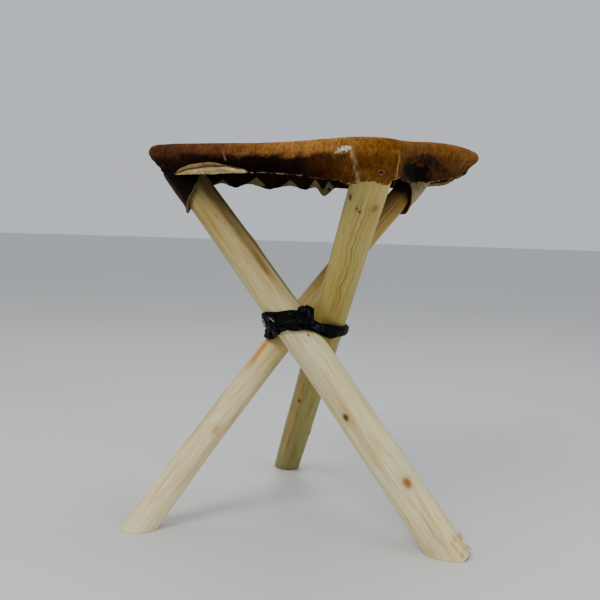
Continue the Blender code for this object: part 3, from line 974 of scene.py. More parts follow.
# by angle about the crossing: height of the wound band's middle, and how far its turns spread
LASH_LEVEL = (
    (-180, 0.2318), (-162, 0.2332), (-146, 0.2384), (-130, 0.2424), (-110, 0.2464), (-92, 0.2486),
    (-75, 0.2410), (-60, 0.2365), (-45, 0.2328), (-25, 0.2322), (0, 0.2325), (60, 0.2345),
    (120, 0.2375),
)
LASH_SPREAD = (
    (-180, 0.0065), (-162, 0.0085), (-146, 0.0120), (-130, 0.0116), (-110, 0.0092), (-90, 0.0062),
    (-75, 0.0024), (-60, 0.0028), (-45, 0.0034), (-25, 0.0020), (0, 0.0016), (90, 0.0045),
)
# turns of the strip: (place in the spread, sway across it, half width, half thickness, layer)
LASH_TURNS = (
    (-0.95, 0.25, 0.0044, 0.0017, 0.0),
    (-0.30, -0.70, 0.0046, 0.0018, 1.0),
    (0.35, 0.75, 0.0044, 0.0017, 1.9),
    (0.95, -0.30, 0.0042, 0.0017, 0.4),
)
# crossing ends and tucks of the knot: (angle, height, tilt in degrees, half length, half width,
# stand-off), in metres
LASH_TUCKS = (
    (180.0, 0.2312, 84.0, 0.0100, 0.0052, 0.0046),
    (192.0, 0.2326, -74.0, 0.0115, 0.0050, 0.0046),
    (214.0, 0.2448, 8.0, 0.0110, 0.0050, 0.0022),
    (226.0, 0.2440, -12.0, 0.0120, 0.0054, 0.0020),
    (207.0, 0.2385, 64.0, 0.0150, 0.0046, 0.0034),
    (221.0, 0.2410, -48.0, 0.0160, 0.0048, 0.0030),
    (236.0, 0.2430, 25.0, 0.0140, 0.0048, 0.0026),
    (250.0, 0.2462, -28.0, 0.0150, 0.0050, 0.0028),
    (264.0, 0.2468, 14.0, 0.0150, 0.0050, 0.0030),
    (264.5, 0.2530, 84.0, 0.0112, 0.0056, 0.0028),
    (276.5, 0.2525, 95.0, 0.0118, 0.0062, 0.0030),
    (288.0, 0.2420, -24.0, 0.0140, 0.0042, 0.0014),
    (318.0, 0.2342, 8.0, 0.0130, 0.0040, 0.0010),
    (338.0, 0.2332, -30.0, 0.0080, 0.0044, 0.0012),
)
# pale threads caught in the lashing: (angle, height, tilt in degrees, length)
LASH_THREADS = (
    (228.0, 0.2462, -35.0, 0.0070),
    (213.0, 0.2420, 84.0, 0.0085),
    (250.0, 0.2352, 20.0, 0.0016),
    (208.0, 0.2345, 60.0, 0.0020),
)
BLACK = (0.0012, 0.0012, 0.0014)
# painted highlight: a bluish grey shine painted on the raised wrinkles of the black strip
SHINE_TONE = (0.030, 0.036, 0.043)


def bulged(values):
    """A sine or cosine made a little blunter, for a flattened round section."""
    return np.sign(values) * np.abs(values) ** 0.8


class Wrap:
    """The poles' common outline about the middle of the lashing, by angle and height."""

    def __init__(self):
        lo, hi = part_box("lashing_strip")
        self.middle = np.array(((lo.x + hi.x) / 2.0, (lo.y + hi.y) / 2.0))
        self.turn = circle(LASH_STEPS)
        ways = np.stack((np.cos(self.turn), np.sin(self.turn)), axis=1)
        gap = np.cos(self.turn[:, None] - self.turn)
        rows = []
        for z in HULL_LEVELS:
            support = (self._cut(z) @ ways.T).max(axis=0)
            reach = np.where(gap > 0.05, support / np.maximum(gap, 0.05), 9.0)
            rows.append(reach.min(axis=1))
        self.table = np.array(rows)

    def _cut(self, z):
        """Points on the three poles at a height, from the middle."""
        ring = circle(HULL_SAMPLES)
        spots = []
        for leg in LEGS.values():
            pole = leg["measured"]
            along = np.full(HULL_SAMPLES, (z - pole.origin[2]) / pole.up[2])
            for _ in range(SETTLE_ROUNDS):
                world = pole.to_world(pole.surface(along, ring))
                along = along - (world[:, 2] - z) / pole.up[2]
            spots.append(world[:, :2] - self.middle)
        return np.concatenate(spots)

    def place(self, angle, z, stand):
        """World points at angles, heights and distances off the outline."""
        level = (z - HULL_LEVELS[0]) / (HULL_LEVELS[1] - HULL_LEVELS[0])
        level = np.clip(level, 0.0, len(HULL_LEVELS) - 1.001)
        low = level.astype(int)
        up = level - low
        spot = (angle / (2.0 * np.pi)) % 1.0 * LASH_STEPS
        left = spot.astype(int) % LASH_STEPS
        right = (left + 1) % LASH_STEPS
        on = spot - np.floor(spot)
        under = self.table[low, left] * (1.0 - on) + self.table[low, right] * on
        over = self.table[low + 1, left] * (1.0 - on) + self.table[low + 1, right] * on
        reach = under * (1.0 - up) + over * up + stand
        x = self.middle[0] + reach * np.cos(angle)
        y = self.middle[1] + reach * np.sin(angle)
        return np.stack((x, y, z), axis=-1)

    def strip(self, angle, z, stand, half_width, half_thick, seed):
        """Rings of a flat, wrinkled strip along a path on the poles, with its tones: black, with a
        painted highlight on the raised wrinkles.
        """
        step_u = np.gradient(angle) * LASH_RADIUS
        step_z = np.gradient(z)
        size = np.hypot(step_u, step_z)
        turn = circle(LASH_SIDES)
        wide = bulged(np.cos(turn)) * half_width[:, None]
        thick = bulged(np.sin(turn))
        u = angle[:, None] - (step_z / size)[:, None] * wide / LASH_RADIUS
        height = z[:, None] + (step_u / size)[:, None] * wide
        lumps = rough(xyz(u * LASH_RADIUS, height), (0.012, 0.008, 1.0), seed, 2)
        path = xyz(np.cumsum(size)[:, None], wide)
        wrinkles = rough(path, (0.0085, 0.0019, 1.0), seed + 40, 3)
        raised = ease((thick + 1.0) / 2.0)
        relief = (0.0020 * lumps + 0.0011 * wrinkles) * raised
        off = stand[:, None] + half_thick[:, None] * (1.0 + thick) + relief + LASH_GAP
        # painted highlight on the raised wrinkles, kept to the side between 190 and 290 degrees
        shine = ease((wrinkles + 0.5 * lumps - 0.30) * 3.0) * raised
        shine = shine * arc(np.degrees(u), 190.0, 290.0, 15.0)
        return self.place(u, height, off), mix(plain(u.shape, BLACK), SHINE_TONE, 0.6 * shine)


def build_lashing(wrap, finish):
    """Four wrinkled turns of a hide strip, and the crossing ends and tucks of its knot."""
    pile = Pile()
    turn = wrap.turn
    level = smooth_round(keyed(np.degrees(turn), LASH_LEVEL), 5.0)
    spread = smooth_round(keyed(np.degrees(turn), LASH_SPREAD), 5.0)
    for k, (place, sway, half_width, half_thick, layer) in enumerate(LASH_TURNS):
        wander = smooth_round(lattice(xyz(turn * 3.5), 80 + k), 5.0)
        across = place + sway * np.sin(turn * 2.0 + 1.3 * k) + 0.30 * wander
        pinch = half_width * (1.0 + 0.25 * np.roll(wander, 11))
        stand = 0.0008 * layer * (1.0 + 0.5 * wander)
        thick = np.full(len(turn), half_thick)
        rings, tones = wrap.strip(turn, level + across * spread, stand, pinch, thick, 90 + k)
        pile.strip(rings, tones, closed=True)
    steps = np.linspace(-1.0, 1.0, 36)
    taper = np.clip(1.25 - np.abs(steps) ** 5, 0.25, 1.0)
    crown = np.sqrt(np.clip(1.05 - steps**2, 0.0, 1.0))
    for k, (angle, height, tilt, half_length, half_width, stand) in enumerate(LASH_TUCKS):
        tilt = math.radians(tilt)
        u = math.radians(angle) + steps * half_length * math.cos(tilt) / LASH_RADIUS
        z = height + steps * half_length * math.sin(tilt)
        wide = half_width * taper
        rings, tones = wrap.strip(u, z, stand * crown, wide, TUCK_THICK * taper, 120 + k)
        pile.strip(rings, tones, closed=False)
    made = pile.build("wound_lashing", finish)
    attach(made, ROOT)
    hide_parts("lashing_strip")


# tufts of stiff hair on the lashing: (angle, its spread, height, its spread, how many hairs)
FUZZ = (
    (271.0, 4.5, 0.2622, 0.0010, 130),
    (262.0, 6.0, 0.2560, 0.0010, 30),
)
FUZZ_SIDES = 6
FUZZ_TONE = (0.003, 0.003, 0.004)
THREAD_TONE = (0.50, 0.46, 0.36)


def build_fuzz(wrap, finish):
    """Stiff black hairs, one cut end and a few pale threads that stand off the lashing."""
    draw = np.random.default_rng(7)
    pile = Pile()
    steps = np.linspace(0.0, 1.0, 6)[:, None]
    for centre, spread, height, rise, count in FUZZ:
        for _ in range(count):
            angle = math.radians(draw.normal(centre, spread))
            z = height + draw.normal(0.0, rise)
            root = wrap.place(np.array(angle), np.array(z), 0.0028)
            out = np.array((math.cos(angle), math.sin(angle), 0.0))
            side = np.array((-out[1], out[0], 0.0))
            lean = out * draw.uniform(0.1, 0.6) + side * draw.uniform(-0.5, 0.5)
            lean = lean + np.array((0.0, 0.0, draw.uniform(0.5, 1.0)))
            length = draw.uniform(0.0018, 0.0034)
            path = root + lean * length * steps + side * length * 0.3 * steps**2
            pile.tube(path, np.linspace(0.00030, 0.00010, 6), FUZZ_SIDES, FUZZ_TONE)
    bend = 0.0006 * np.sin(np.linspace(0.0, 3.0, 12))
    for angle, height, tilt, length in LASH_THREADS:
        tilt = math.radians(tilt)
        along = np.linspace(-0.5, 0.5, 12) * length
        u = math.radians(angle) + along * math.cos(tilt) / LASH_RADIUS
        path = wrap.place(u, height + along * math.sin(tilt) + bend, 0.0085)
        pile.tube(path, np.full(12, 0.00034), FUZZ_SIDES, THREAD_TONE)
    end = np.linspace(0.0, 1.0, 10)
    path = wrap.place(math.radians(184.0) + 0.03 * end, 0.2334 + 0.0016 * end, 0.0020 + 0.0110 * end)
    pile.tube(path, np.linspace(0.0036, 0.0003, 10), FUZZ_SIDES, BLACK, 0.5)
    made = pile.build("lashing_fuzz", finish)
    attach(made, ROOT)


# --- seat ---------------------------------------------------------------------------------------
SEAT_COLUMNS = 900
TOP_ROWS = 52
RIM_ROWS = 7
SKIRT_ROWS = 36
RIM_ROUND = 0.009
HIDE_THICK = 0.0030
RIM_PROBES = (0.434, 0.462, 0.0025)  # heights where the skirt is probed: first, last, step
MIDDLE_SHIFT = (0.0058, 0.0122)  # from the mean of the pockets to the middle of the seat

# height of the cut hem, by angle
HEM = (
    (-176, 0.4178), (-160, 0.4166), (-148, 0.4165), (-134, 0.4160), (-115, 0.4139),
    (-101, 0.4098), (-93, 0.4050), (-88.5, 0.4035), (-86, 0.3990), (-83.5, 0.4010),
    (-79, 0.4023), (-77, 0.4000), (-75, 0.3985), (-73.6, 0.4045), (-71, 0.4082),
    (-67, 0.4100), (-59, 0.4094), (-49, 0.4090), (-35, 0.4118), (-18, 0.4157),
    (-2, 0.4210), (12, 0.4262), (19, 0.4345), (25, 0.4415), (30, 0.4385), (36, 0.4330),
    (38, 0.4310), (41, 0.4235), (46, 0.4190), (54, 0.4160), (64, 0.4180), (75, 0.4128),
    (84, 0.4128), (89, 0.4030), (91.5, 0.3995), (97, 0.4135), (101, 0.4110),
    (105, 0.4085), (115, 0.4138), (122, 0.4110), (128, 0.4070), (133, 0.4115),
    (137.6, 0.4143), (142, 0.4075), (146.4, 0.4143), (148, 0.4100), (152, 0.4123),
    (158, 0.4170), (165, 0.4195), (176, 0.4185),
)
# how far the skirt is drawn in at the hem, by angle
TUCK = (
    (-176, 0.018), (-165, 0.010), (-150, 0.003), (-120, 0.002), (-95, 0.002), (-80, 0.0),
    (-70, 0.003), (-40, 0.002), (0, 0.004), (18, 0.012), (25, 0.016), (33, 0.012),
    (50, 0.004), (100, 0.002), (140, 0.004), (165, 0.018),
)
# coat by angle: at the rim, half way down the skirt, and at the hem; where the lower two are darker
# than the rim, that is painted shade on the hanging skirt
COAT = (
    (-176, (0.125, 0.052, 0.026), (0.030, 0.010, 0.006), (0.010, 0.003, 0.003)),
    (-160, (0.16, 0.066, 0.030), (0.014, 0.004, 0.003), (0.006, 0.002, 0.002)),
    (-140, (0.25, 0.110, 0.040), (0.010, 0.003, 0.002), (0.004, 0.001, 0.001)),
    (-120, (0.36, 0.170, 0.050), (0.009, 0.003, 0.001), (0.003, 0.001, 0.001)),
    (-103, (0.44, 0.225, 0.070), (0.012, 0.004, 0.002), (0.005, 0.002, 0.001)),
    (-94, (0.44, 0.225, 0.066), (0.050, 0.018, 0.004), (0.020, 0.006, 0.002)),
    (-87, (0.34, 0.170, 0.046), (0.120, 0.052, 0.012), (0.080, 0.034, 0.008)),
    (-78, (0.25, 0.112, 0.020), (0.125, 0.050, 0.008), (0.170, 0.088, 0.020)),
    (-71, (0.24, 0.104, 0.018), (0.170, 0.080, 0.014), (0.180, 0.092, 0.020)),
    (-64, (0.25, 0.108, 0.020), (0.120, 0.048, 0.009), (0.060, 0.024, 0.006)),
    (-45, (0.24, 0.100, 0.017), (0.085, 0.034, 0.007), (0.020, 0.008, 0.002)),
    (-22, (0.27, 0.122, 0.022), (0.110, 0.046, 0.008), (0.050, 0.020, 0.004)),
    (5, (0.28, 0.130, 0.026), (0.150, 0.064, 0.011), (0.070, 0.028, 0.005)),
    (22, (0.31, 0.165, 0.044), (0.230, 0.112, 0.023), (0.110, 0.048, 0.010)),
    (40, (0.27, 0.125, 0.027), (0.120, 0.050, 0.011), (0.045, 0.019, 0.005)),
    (90, (0.21, 0.086, 0.020), (0.075, 0.029, 0.007), (0.022, 0.009, 0.003)),
    (150, (0.13, 0.053, 0.017), (0.045, 0.018, 0.007), (0.015, 0.006, 0.003)),
)
TUFT_ANGLE = -87.0
TUFT_LEVEL = 0.4350
# black patches painted on the skirt, the first two over the hollow right of the front corner: (angle,
# half width, height, half height, strength)
DARK_BLOTCHES = (
    (-44.0, 15.0, 0.4230, 0.0080, 0.98),
    (-34.0, 16.0, 0.4370, 0.0060, 0.75),
    (-12.0, 9.0, 0.4330, 0.0040, 0.55),
)
COAT_DEPTH = np.array((0.66, 0.56, 0.42))
# lens-shaped turned-up edge on the left: top of its upper piece and the line between its pieces
LENS_TOP = ((-180, 0.4215), (-176, 0.4262), (-171, 0.4293), (-162, 0.4306), (-157, 0.4295),
            (-149, 0.4254), (-140, 0.4216), (-134, 0.4170))
LENS_LINE = ((-180, 0.4190), (-177, 0.4206), (-172, 0.4240), (-162, 0.4258), (-149, 0.4246),
             (-140, 0.4208), (-134, 0.4165))
# pale triangles of flesh side that show inside the rear skirt: (angle, half width, top)
PALE_FLAPS = (
    (134.0, 5.0, 0.4230),
    (115.5, 6.5, 0.4210),
    (98.0, 5.0, 0.4236),
    (88.0, 4.0, 0.4222),
    (146.0, 2.4, 0.4186),
    (155.0, 2.0, 0.4180),
)


FOLD_ANGLE = -72.2  # the fold right of the front corner
# it and the furrows left of the corner: (angle, half width, relief, top, fade at the top)
FOLDS = (
    (-88.3, 1.2, -0.0018, 0.436, 0.010),
    (-90.8, 1.0, -0.00126, 0.436, 0.010),
    (FOLD_ANGLE, 1.1, 0.0030, 0.439, 0.008),
)
RIDGE_LEVELS = (0.404, 0.418, 0.431, 0.441)  # the curled edge left of the front corner
RIDGE_ANGLES = (-83.4, -83.8, -84.9, -86.5)
PEG_ANGLE = -77.4  # the torn hole right of the front corner: its angle, height and half sizes
PEG_LEVEL = 0.4118
PEG_SIZE = (0.0019, 0.0014)
FRONT_REACH = 0.226  # from the middle of the seat to the skirt, at the front corner
REAR_REACH = 0.104  # and at the rear
TORN_HOLES = ((91.8, 0.4140, 0.0018), (87.6, 0.4105, 0.0016))  # (angle, height, radius)
PLAN_STEPS = 2160
GOLD_EDGE = (0.42, 0.28, 0.11)
BARE_EDGE = (0.44, 0.31, 0.15)
# painted shade inside the pegging hole
HOLE_TONE = (0.010, 0.005, 0.003)


class Seat:
    """Plan and rim of the seat, measured from the CAD hide."""

    def __init__(self):
        self.tree = cad_tree("seat_hide")
        mean = sum((pocket_centre(leg) for leg in LEGS.values()), Vector((0.0, 0.0))) / len(LEGS)
        self.middle = np.array((mean.x + MIDDLE_SHIFT[0], mean.y + MIDDLE_SHIFT[1]))
        fine = np.radians(np.linspace(-180.0, 180.0, PLAN_STEPS, endpoint=False))
        reach = smooth_round(np.array([self._reach(angle) for angle in fine]), 7.0)
        plan = self._out_to(fine, reach)
        steps = np.linalg.norm(np.roll(plan, -1, axis=0) - plan, axis=1)
        length = np.concatenate(([0.0], np.cumsum(steps)))
        self.length = np.linspace(0.0, length[-1], SEAT_COLUMNS, endpoint=False)
        angle = np.interp(self.length, length, np.append(fine, np.pi))
        self.degrees = np.degrees(angle)
        self.plan = self._out_to(angle, np.interp(angle, fine, reach, period=2.0 * np.pi))
        ahead = np.roll(self.plan, -2, axis=0) - np.roll(self.plan, 2, axis=0)
        ahead /= np.linalg.norm(ahead, axis=1)[:, None]
        self.out = np.stack((ahead[:, 1], -ahead[:, 0]), axis=1)
        self.inner = self.plan - self.out * RIM_ROUND
        self.rim = smooth_round(np.array([self.level(spot) for spot in self.inner]), 9.0)

    def _out_to(self, angle, reach):
        way = np.stack((np.cos(angle), np.sin(angle)), axis=1)
        return self.middle + way * reach[:, None]

    def _reach(self, angle):
        """How far the skirt stands out at its widest, just under the rounded rim."""
        way = Vector((math.cos(angle), math.sin(angle), 0.0))
        reach = 0.0
        for z in np.arange(*RIM_PROBES):
            hit = self.tree.ray_cast(Vector((*self.middle, z)) + way * 0.4, -way)[0]
            if hit is not None:
                reach = max(reach, (hit.xy - Vector(self.middle)).dot(way.xy))
        return reach

    def level(self, spot):
        """Height of the CAD seat's top at a place in plan."""
        return self.tree.ray_cast(Vector((*spot, 0.6)), Vector((0.0, 0.0, -1.0)))[0].z

    def unrolled(self, z):
        """Points by length round the rim and height, for noise that follows the skirt."""
        return xyz(self.length, z)


def pocket_centre(leg):
    lo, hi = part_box(leg["pocket"])
    return ((lo + hi) / 2.0).xy


def seat_top_rows(seat):
    shares = np.linspace(0.0, 1.0, TOP_ROWS + 1)[1:] ** 0.9
    rows = []
    for share in shares:
        plan = seat.middle + (seat.inner - seat.middle) * share
        level = np.array([seat.level(spot) for spot in plan])
        level = smooth_round(level, 5.0 + 40.0 * (1.0 - share))
        level = level + (seat.rim - level) * ease((share - 0.88) / 0.12)
        rows.append(np.concatenate((plan, level[:, None]), axis=1))
    return np.array(rows), shares


def peg_hole(a, z):
    """Distance from the small torn hole near the front corner, in hole radii."""
    across = np.radians(angle_gap(a, PEG_ANGLE)) * FRONT_REACH
    ragged = 1.0 + 0.25 * np.sin(3.0 * np.arctan2(z - PEG_LEVEL, across) + 0.6)
    return np.hypot(across / PEG_SIZE[0], (z - PEG_LEVEL) / PEG_SIZE[1]) / ragged


def lens_relief(a, z):
    """The two rolled pieces of the turned-up edge on the left."""
    top = keyed(a, LENS_TOP)
    line = keyed(a, LENS_LINE)
    hem = keyed(a, HEM)
    upper = np.clip((z - line) / np.maximum(top - line, 5e-4), 0.0, 1.0)
    lower = np.clip((z - hem) / np.maximum(line - hem, 5e-4), 0.0, 1.0)
    roll = np.where(z > line, np.sin(np.pi * upper), np.sin(np.pi * lower))
    lift = np.where(z > top, 0.0, 0.0022 + 0.0038 * np.clip(roll, 0.0, 1.0))
    return arc(a, -176.0, -141.0, 5.0) * lift


def skirt_relief(seat, a, z, share):
    """Outward displacement of the skirt by angle and height; share runs from rim 0 to hem 1."""
    spot = seat.unrolled(z)
    total = 0.0016 * rough(spot, (0.030, 0.06, 1.0), 21, 3) * share
    total += 0.0008 * rough(spot, (0.007, 0.035, 1.0), 22, 2) * ease(share * 1.5)
    total += lens_relief(a, z)
    nose = np.sin((z - 0.40) * 900.0 + 2.0 * np.sin(a * 0.25))
    total += 0.0009 * arc(a, 168.0, 184.0, 8.0) * nose * share
    ridge = near(a, np.interp(z, RIDGE_LEVELS, RIDGE_ANGLES), 1.3)
    total += 0.0032 * ridge * ease((0.443 - z) / 0.01)
    for angle, half, height, top, fade in FOLDS:
        total += height * near(a, angle, half) * ease((top - z) / fade)
    total += 0.0026 * arc(a, -80.0, -74.0, 2.5) * np.sin(np.pi * share)
    hollow = ease(angle_gap(a, -71.0) / 13.0) * ease((-28.0 - a) / 16.0)
    total -= 0.0100 * hollow * ease((0.4400 - z) / 0.012)
    total += 0.0022 * arc(a, -30.0, -8.0, 9.0) * window(z, keyed(a, HEM) + 0.003, 0.004)
    ring = peg_hole(a, z)
    return total + 0.0006 * window(ring, 1.2, 0.5) - 0.0020 * ease(1.4 - ring)


def coat_colours(seat, a, z, share):
    """Coat of the skirt: the keyed colours, black patches, a white tuft and bare edges."""
    spot = seat.unrolled(z)
    uneven = 0.20 * rough(spot, (0.016, 0.010, 1.0), 31, 4)
    s = np.clip(share + uneven * ease(share * 4.0), 0.0, 1.0)
    rim, middle, hem = (keyed(a, COAT, k) * COAT_DEPTH for k in (1, 2, 3))
    # painted shade: down the skirt the colour goes from the rim's to the middle's and the hem's,
    # which are mostly darker
    colours = mix(rim, middle, ease((s - 0.04) / 0.34))
    colours = mix(colours, hem, ease((s - 0.45) / 0.5))
    for centre, half, level, tall, strength in DARK_BLOTCHES:
        blotch = np.hypot(angle_gap(a, centre) / half, (z - level) / tall)
        blotch = blotch + 0.55 * rough(spot, (0.008, 0.004, 1.0), 33, 4)
        colours = mix(colours, (0.004, 0.002, 0.001), strength * ease((1.35 - blotch) * 2.6))
    above = z - TUFT_LEVEL
    tuft = np.hypot(angle_gap(a, TUFT_ANGLE + above * 300.0) / 1.9, above / 0.0038)
    tuft = tuft + 0.9 * rough(spot, (0.004, 0.0015, 1.0), 36, 3)
    colours = mix(colours, (0.72, 0.66, 0.50), 0.9 * ease(1.3 - tuft))
    broken = np.clip(0.5 + 0.9 * rough(spot, (0.002, 0.006, 1.0), 34, 2), 0.0, 1.0)
    ridge = near(a, np.interp(z, RIDGE_LEVELS[:3], RIDGE_ANGLES[:3]), 0.9) * broken
    colours = mix(colours, (0.46, 0.33, 0.16), 0.75 * ridge * ease((0.440 - z) / 0.01))
    fold = near(a, FOLD_ANGLE, 0.7) * broken
    colours = mix(colours, GOLD_EDGE, 0.6 * fold * ease((0.437 - z) / 0.008))
    scratch = near(a, np.interp(z, (0.431, 0.4415), (-150.7, -152.3)), 0.45)
    scratch = scratch * arc(z * 1e4, 4318.0, 4408.0, 8.0)
    colours = mix(colours, (0.42, 0.33, 0.22), 0.8 * scratch)
    edge = 1.0 - np.clip((z - z[-1]) / 0.0013, 0.0, 1.0)
    edge = edge * ease(0.35 + 1.6 * rough(spot, (0.006, 1.0, 1.0), 35, 2))
    strong = np.maximum(arc(a, -133.0, -99.0, 6.0), arc(a, -87.0, 24.0, 4.0))
    colours = mix(colours, BARE_EDGE, 0.75 * edge * np.maximum(strong, 0.15))
    return paint_hole(a, z, paint_lens(a, z, spot, colours))


def paint_lens(a, z, spot, colours):
    """Flesh side of the turned-up edge on the left, with painted shade in the groove between its two
    pieces and a painted shadow line above its top.
    """
    top = keyed(a, LENS_TOP)
    line = keyed(a, LENS_LINE)
    lens = arc(a, -178.5, -137.0, 2.5) * ease((top - z) / 0.0009 + 0.5)
    upper = ease((z - line) / 0.0008 + 0.5)
    shade = 1.0 + 0.3 * rough(spot, (0.014, 0.002, 1.0), 37, 3)
    flesh = mix(plain(z.shape, (0.50, 0.37, 0.17)), (0.30, 0.22, 0.085), upper)
    colours = mix(colours, flesh * shade[..., None], 0.95 * lens)
    # painted shade in the groove between the two pieces
    groove = window(z, line, 0.0011) * arc(a, -177.0, -141.0, 3.0)
    colours = mix(colours, (0.030, 0.014, 0.007), 0.9 * groove)
    # painted shadow along the line just above the lens's top
    over = window(z, top + 0.0004, 0.0010) * arc(a, -176.0, -143.0, 3.0)
    return mix(colours, (0.012, 0.006, 0.004), 0.8 * over)


def paint_hole(a, z, colours):
    """The pegging hole at the front, painted dark inside as shade, with its bare lip."""
    ring = peg_hole(a, z)
    colours = mix(colours, (0.30, 0.19, 0.11), 0.6 * window(ring, 1.25, 0.6))
    # painted shade: the hole's middle is dark for the shade inside it
    return mix(colours, HOLE_TONE, ease((1.15 - ring) * 3.0))


def top_colours(a, rows, shares):
    """Mottled coat that carries the rim's colour in towards an even brown."""
    rim = keyed(a, COAT) * COAT_DEPTH
    body = plain(rows.shape[:2], (0.19, 0.083, 0.024))
    colours = mix(body, rim, ease((shares[:, None] - 0.55) / 0.45))
    patch = rough(rows, (0.07, 0.07, 0.07), 41, 4)
    colours = mix(colours, (0.045, 0.018, 0.008), 0.75 * ease((patch - 0.12) * 3.2))
    colours = mix(colours, (0.36, 0.20, 0.07), 0.5 * ease((-patch - 0.2) * 3.0))
    return colours * (1.0 + 0.2 * rough(rows, (0.012, 0.012, 0.012), 43, 3)[..., None])


def flesh_colours(seat, a, z):
    """Inner side: painted dark as shade and unevenly stained, with pale bare triangles along the rear
    hem.
    """
    stain = 1.0 + 0.6 * rough(seat.unrolled(z), (0.02, 0.01, 1.0), 45, 3)
    # painted shade: the pale flesh side is painted near black
    colours = plain(z.shape, (0.022, 0.012, 0.006)) * stain[..., None]
    for angle, half, top in PALE_FLAPS:
        slope = (top - z) / (top - 0.411) * half
        inside = ease((slope - np.abs(angle_gap(a, angle))) / 0.6 + 0.3)
        colours = mix(colours, (0.34, 0.28, 0.12), 0.9 * inside * ease((top - z) / 0.001))
    low = ease((0.4125 - z) / 0.0015) * arc(a, 100.0, 152.0, 3.0)
    colours = mix(colours, (0.010, 0.006, 0.004), 0.9 * low)
    for angle, height, size in TORN_HOLES:
        torn = np.hypot(np.radians(angle_gap(a, angle)) * REAR_REACH, z - height) / size
        # painted shade: the torn holes are dark discs for the shade seen through them
        colours = mix(colours, (0.006, 0.004, 0.003), 0.95 * ease(1.8 - torn))
    above = z - keyed(a, HEM)
    rolled = arc(a, 33.0, 52.0, 2.0)
    # painted shade: the inner side of the rolled rear-right edge is painted black, leaving a tan
    # strip of its own colour along the hem
    colours = mix(colours, (0.008, 0.004, 0.002), 0.9 * rolled)
    return mix(colours, (0.34, 0.21, 0.08), 0.85 * rolled * ease((0.0042 - above) / 0.001))


def rim_rows(seat):
    """The quarter round from the top to the skirt."""
    rows = []
    for angle in np.linspace(0.0, 0.5 * math.pi, RIM_ROWS + 1)[1:]:
        flat = seat.inner + seat.out * RIM_ROUND * math.sin(angle)
        level = seat.rim - RIM_ROUND * (1.0 - math.cos(angle))
        rows.append(np.concatenate((flat, level[:, None]), axis=1))
    return np.array(rows)


def skirt_rows(seat, a, share):
    """The skirt with its relief, drawn in at the hem and cut to a jagged line."""
    jag = lattice(xyz(seat.length / 0.004), 61)
    hem = smooth_round(keyed(seat.degrees, HEM), 1.6) + 0.00045 * jag
    tuck = smooth_round(keyed(seat.degrees, TUCK), 12.0)
    start = seat.rim - RIM_ROUND
    z = start + (hem - start) * share
    push = skirt_relief(seat, a, z, share) * ease(share * 5.0) - tuck * ease(share)
    plan = seat.plan + seat.out * push[..., None]
    return np.concatenate((plan, z[..., None]), axis=2)


def seat_grids(seat):
    """Outer points, inner points, normals, both colour layers and the hair's coordinates."""
    top, shares = seat_top_rows(seat)
    creases = rough(top, (0.035, 0.035, 0.05), 51, 3) * 0.0011 * ease((shares[:, None] - 0.1) * 2.0)
    top[..., 2] += creases * (1.0 - 0.6 * ease((shares[:, None] - 0.9) / 0.1))
    share = (np.linspace(0.0, 1.0, SKIRT_ROWS + 1)[1:] ** 0.85)[:, None]
    around = np.broadcast_to(seat.degrees, (TOP_ROWS + RIM_ROWS + SKIRT_ROWS, SEAT_COLUMNS))
    skirt = skirt_rows(seat, around[-SKIRT_ROWS:], share)
    outer = np.concatenate((top, rim_rows(seat), skirt))
    along = np.roll(outer, -1, axis=1) - np.roll(outer, 1, axis=1)
    normal = np.cross(np.gradient(outer, axis=0), along)
    normal /= np.maximum(np.linalg.norm(normal, axis=2), 1e-9)[..., None]
    inner = outer - normal * HIDE_THICK
    below = slice(TOP_ROWS + RIM_ROWS + 1, None)
    inner[below, :, 2] = np.maximum(inner[below, :, 2], outer[below, :, 2])
    coat_low = coat_colours(seat, around[-SKIRT_ROWS:], skirt[..., 2], share)
    coat_rim = keyed(around[:RIM_ROWS], COAT) * COAT_DEPTH
    coat = np.concatenate((top_colours(around[:TOP_ROWS], top, shares), coat_rim, coat_low))
    flesh = flesh_colours(seat, around, outer[..., 2])
    travel = np.cumsum(np.linalg.norm(np.diff(outer, axis=0, prepend=outer[:1]), axis=2), axis=0)
    uv = np.stack(np.broadcast_arrays(seat.length, travel), axis=-1)
    return outer, inner, normal, coat, flesh, uv


def sector_columns(seat):
    """Column ranges of the three sectors, each from one side's middle to the next."""
    corners = {}
    for name, leg in LEGS.items():
        away = np.array(pocket_centre(leg)) - seat.middle
        corners[name] = math.degrees(math.atan2(away[1], away[0]))
    order = sorted(corners, key=corners.get)
    cuts = []
    for k, name in enumerate(order):
        gap = (corners[order[(k + 1) % 3]] - corners[name]) % 360.0
        edge = corners[name] + gap / 2.0
        cuts.append(int(np.argmin(np.abs(angle_gap(seat.degrees, edge)))))
    ranges = {}
    for k, name in enumerate(order):
        count = (cuts[k] - cuts[k - 1]) % SEAT_COLUMNS + 1
        ranges[name] = (cuts[k - 1] + np.arange(count)) % SEAT_COLUMNS
    return ranges, corners


def sector_faces(rows, count):
    """Outer faces, and then inner and edge faces, of a third whose grids come one after the other."""
    size = rows * count
    outer = grid_faces(rows, count, wrap=False, flip=True)
    inner = grid_faces(rows, count, size, wrap=False)
    last = size - count
    edges = []
    for i in range(count - 1):
        outer.append((2 * size, i, i + 1))
        inner.append((2 * size + 1, size + i + 1, size + i))
        edges.append((last + i, size + last + i, size + last + i + 1, last + i + 1))
    for edge, way in ((0, 1), (count - 1, -1)):
        for a in range(edge, last + edge, count):
            edges.append((a, size + a, size + a + count, a + count)[::way])
        edges.append((2 * size, 2 * size + 1, size + edge, edge)[::way])
    return outer, inner + edges


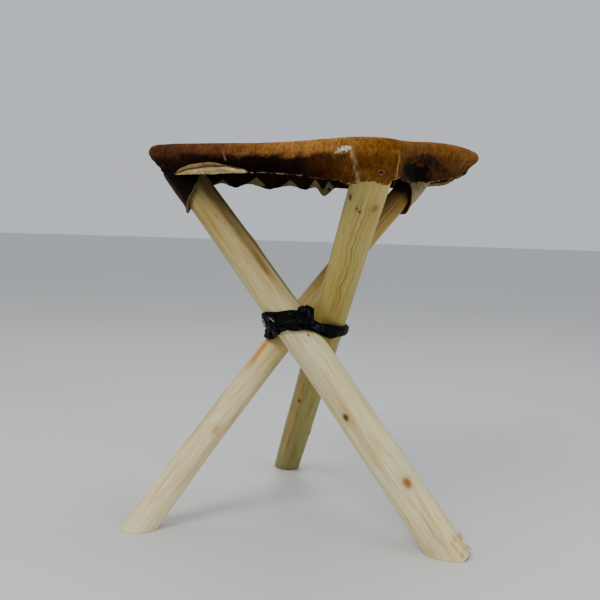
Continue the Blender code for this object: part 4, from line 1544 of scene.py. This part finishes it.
def build_sector(name, seat, grids, columns, finishes):
    """One third of the hide, closed all round."""
    outer, inner, normal, coat, flesh, uv = (grid[:, columns] for grid in grids)
    top = np.array((*seat.middle, outer[0, :, 2].mean()))
    low = top - np.array((0.0, 0.0, HIDE_THICK))
    points = np.concatenate((outer.reshape(-1, 3), inner.reshape(-1, 3), [top, low]))
    turned = normal.reshape(-1, 3)
    normals = np.concatenate((turned, -turned, [(0.0, 0.0, 1.0), (0.0, 0.0, -1.0)]))
    colours = {}
    for layer, grid in (("coat", coat), ("flesh", flesh)):
        both = (grid.reshape(-1, 3),) * 2
        colours[layer] = np.concatenate(both + (grid[0].mean(axis=0)[None],) * 2)
    uv = np.concatenate((uv.reshape(-1, 2), uv.reshape(-1, 2), uv[0, :2]))
    shown, hidden = sector_faces(*outer.shape[:2])
    made = new_mesh("seat_" + name, points, shown + hidden, colours, finishes, normals, uv)
    kinds = [0] * len(shown) + [1] * len(hidden)
    made.data.polygons.foreach_set("material_index", kinds)
    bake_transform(made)
    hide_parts("seat_hide")


def build_seat():
    """The hide in its three thirds; returns its outer side as a tree for ray casts."""
    seat = Seat()
    grids = seat_grids(seat)
    coat = coat_finish()
    flesh = leather_finish("flesh_side_finish", "flesh", 0.72, specular=0.04)
    ranges, corners = sector_columns(seat)
    for name, columns in ranges.items():
        build_sector(name, seat, grids, columns, [coat, flesh])
    outer = grids[0]
    faces = grid_faces(*outer.shape[:2])
    return BVHTree.FromPolygons([Vector(point) for point in outer.reshape(-1, 3)], faces)


# --- everything ---------------------------------------------------------------------------------
def main():
    camera()
    stage()
    wood = wood_finish()
    dark = leather_finish("pocket_hide_finish", "tone", 0.55, specular=0.04)
    pale = leather_finish("pale_hide_finish", "tone", 0.68, specular=0.08, wrinkle=1.3)
    black = leather_finish("black_strip_finish", "tone", 0.45, specular=0.05)
    skin = build_seat()
    for leg in LEGS.values():
        leg["measured"] = Pole(leg["pole"], leg["body"])
        build_pole(leg, wood)
        if leg["pocket"] == "pocket_right":
            build_pocket(leg, pale)
        else:
            build_pocket(leg, dark)
        build_lace(leg, dark, skin)
    build_splinters(LEGS["left"], wood)
    wrap = Wrap()
    build_lashing(wrap, black)
    build_fuzz(wrap, black)


main()
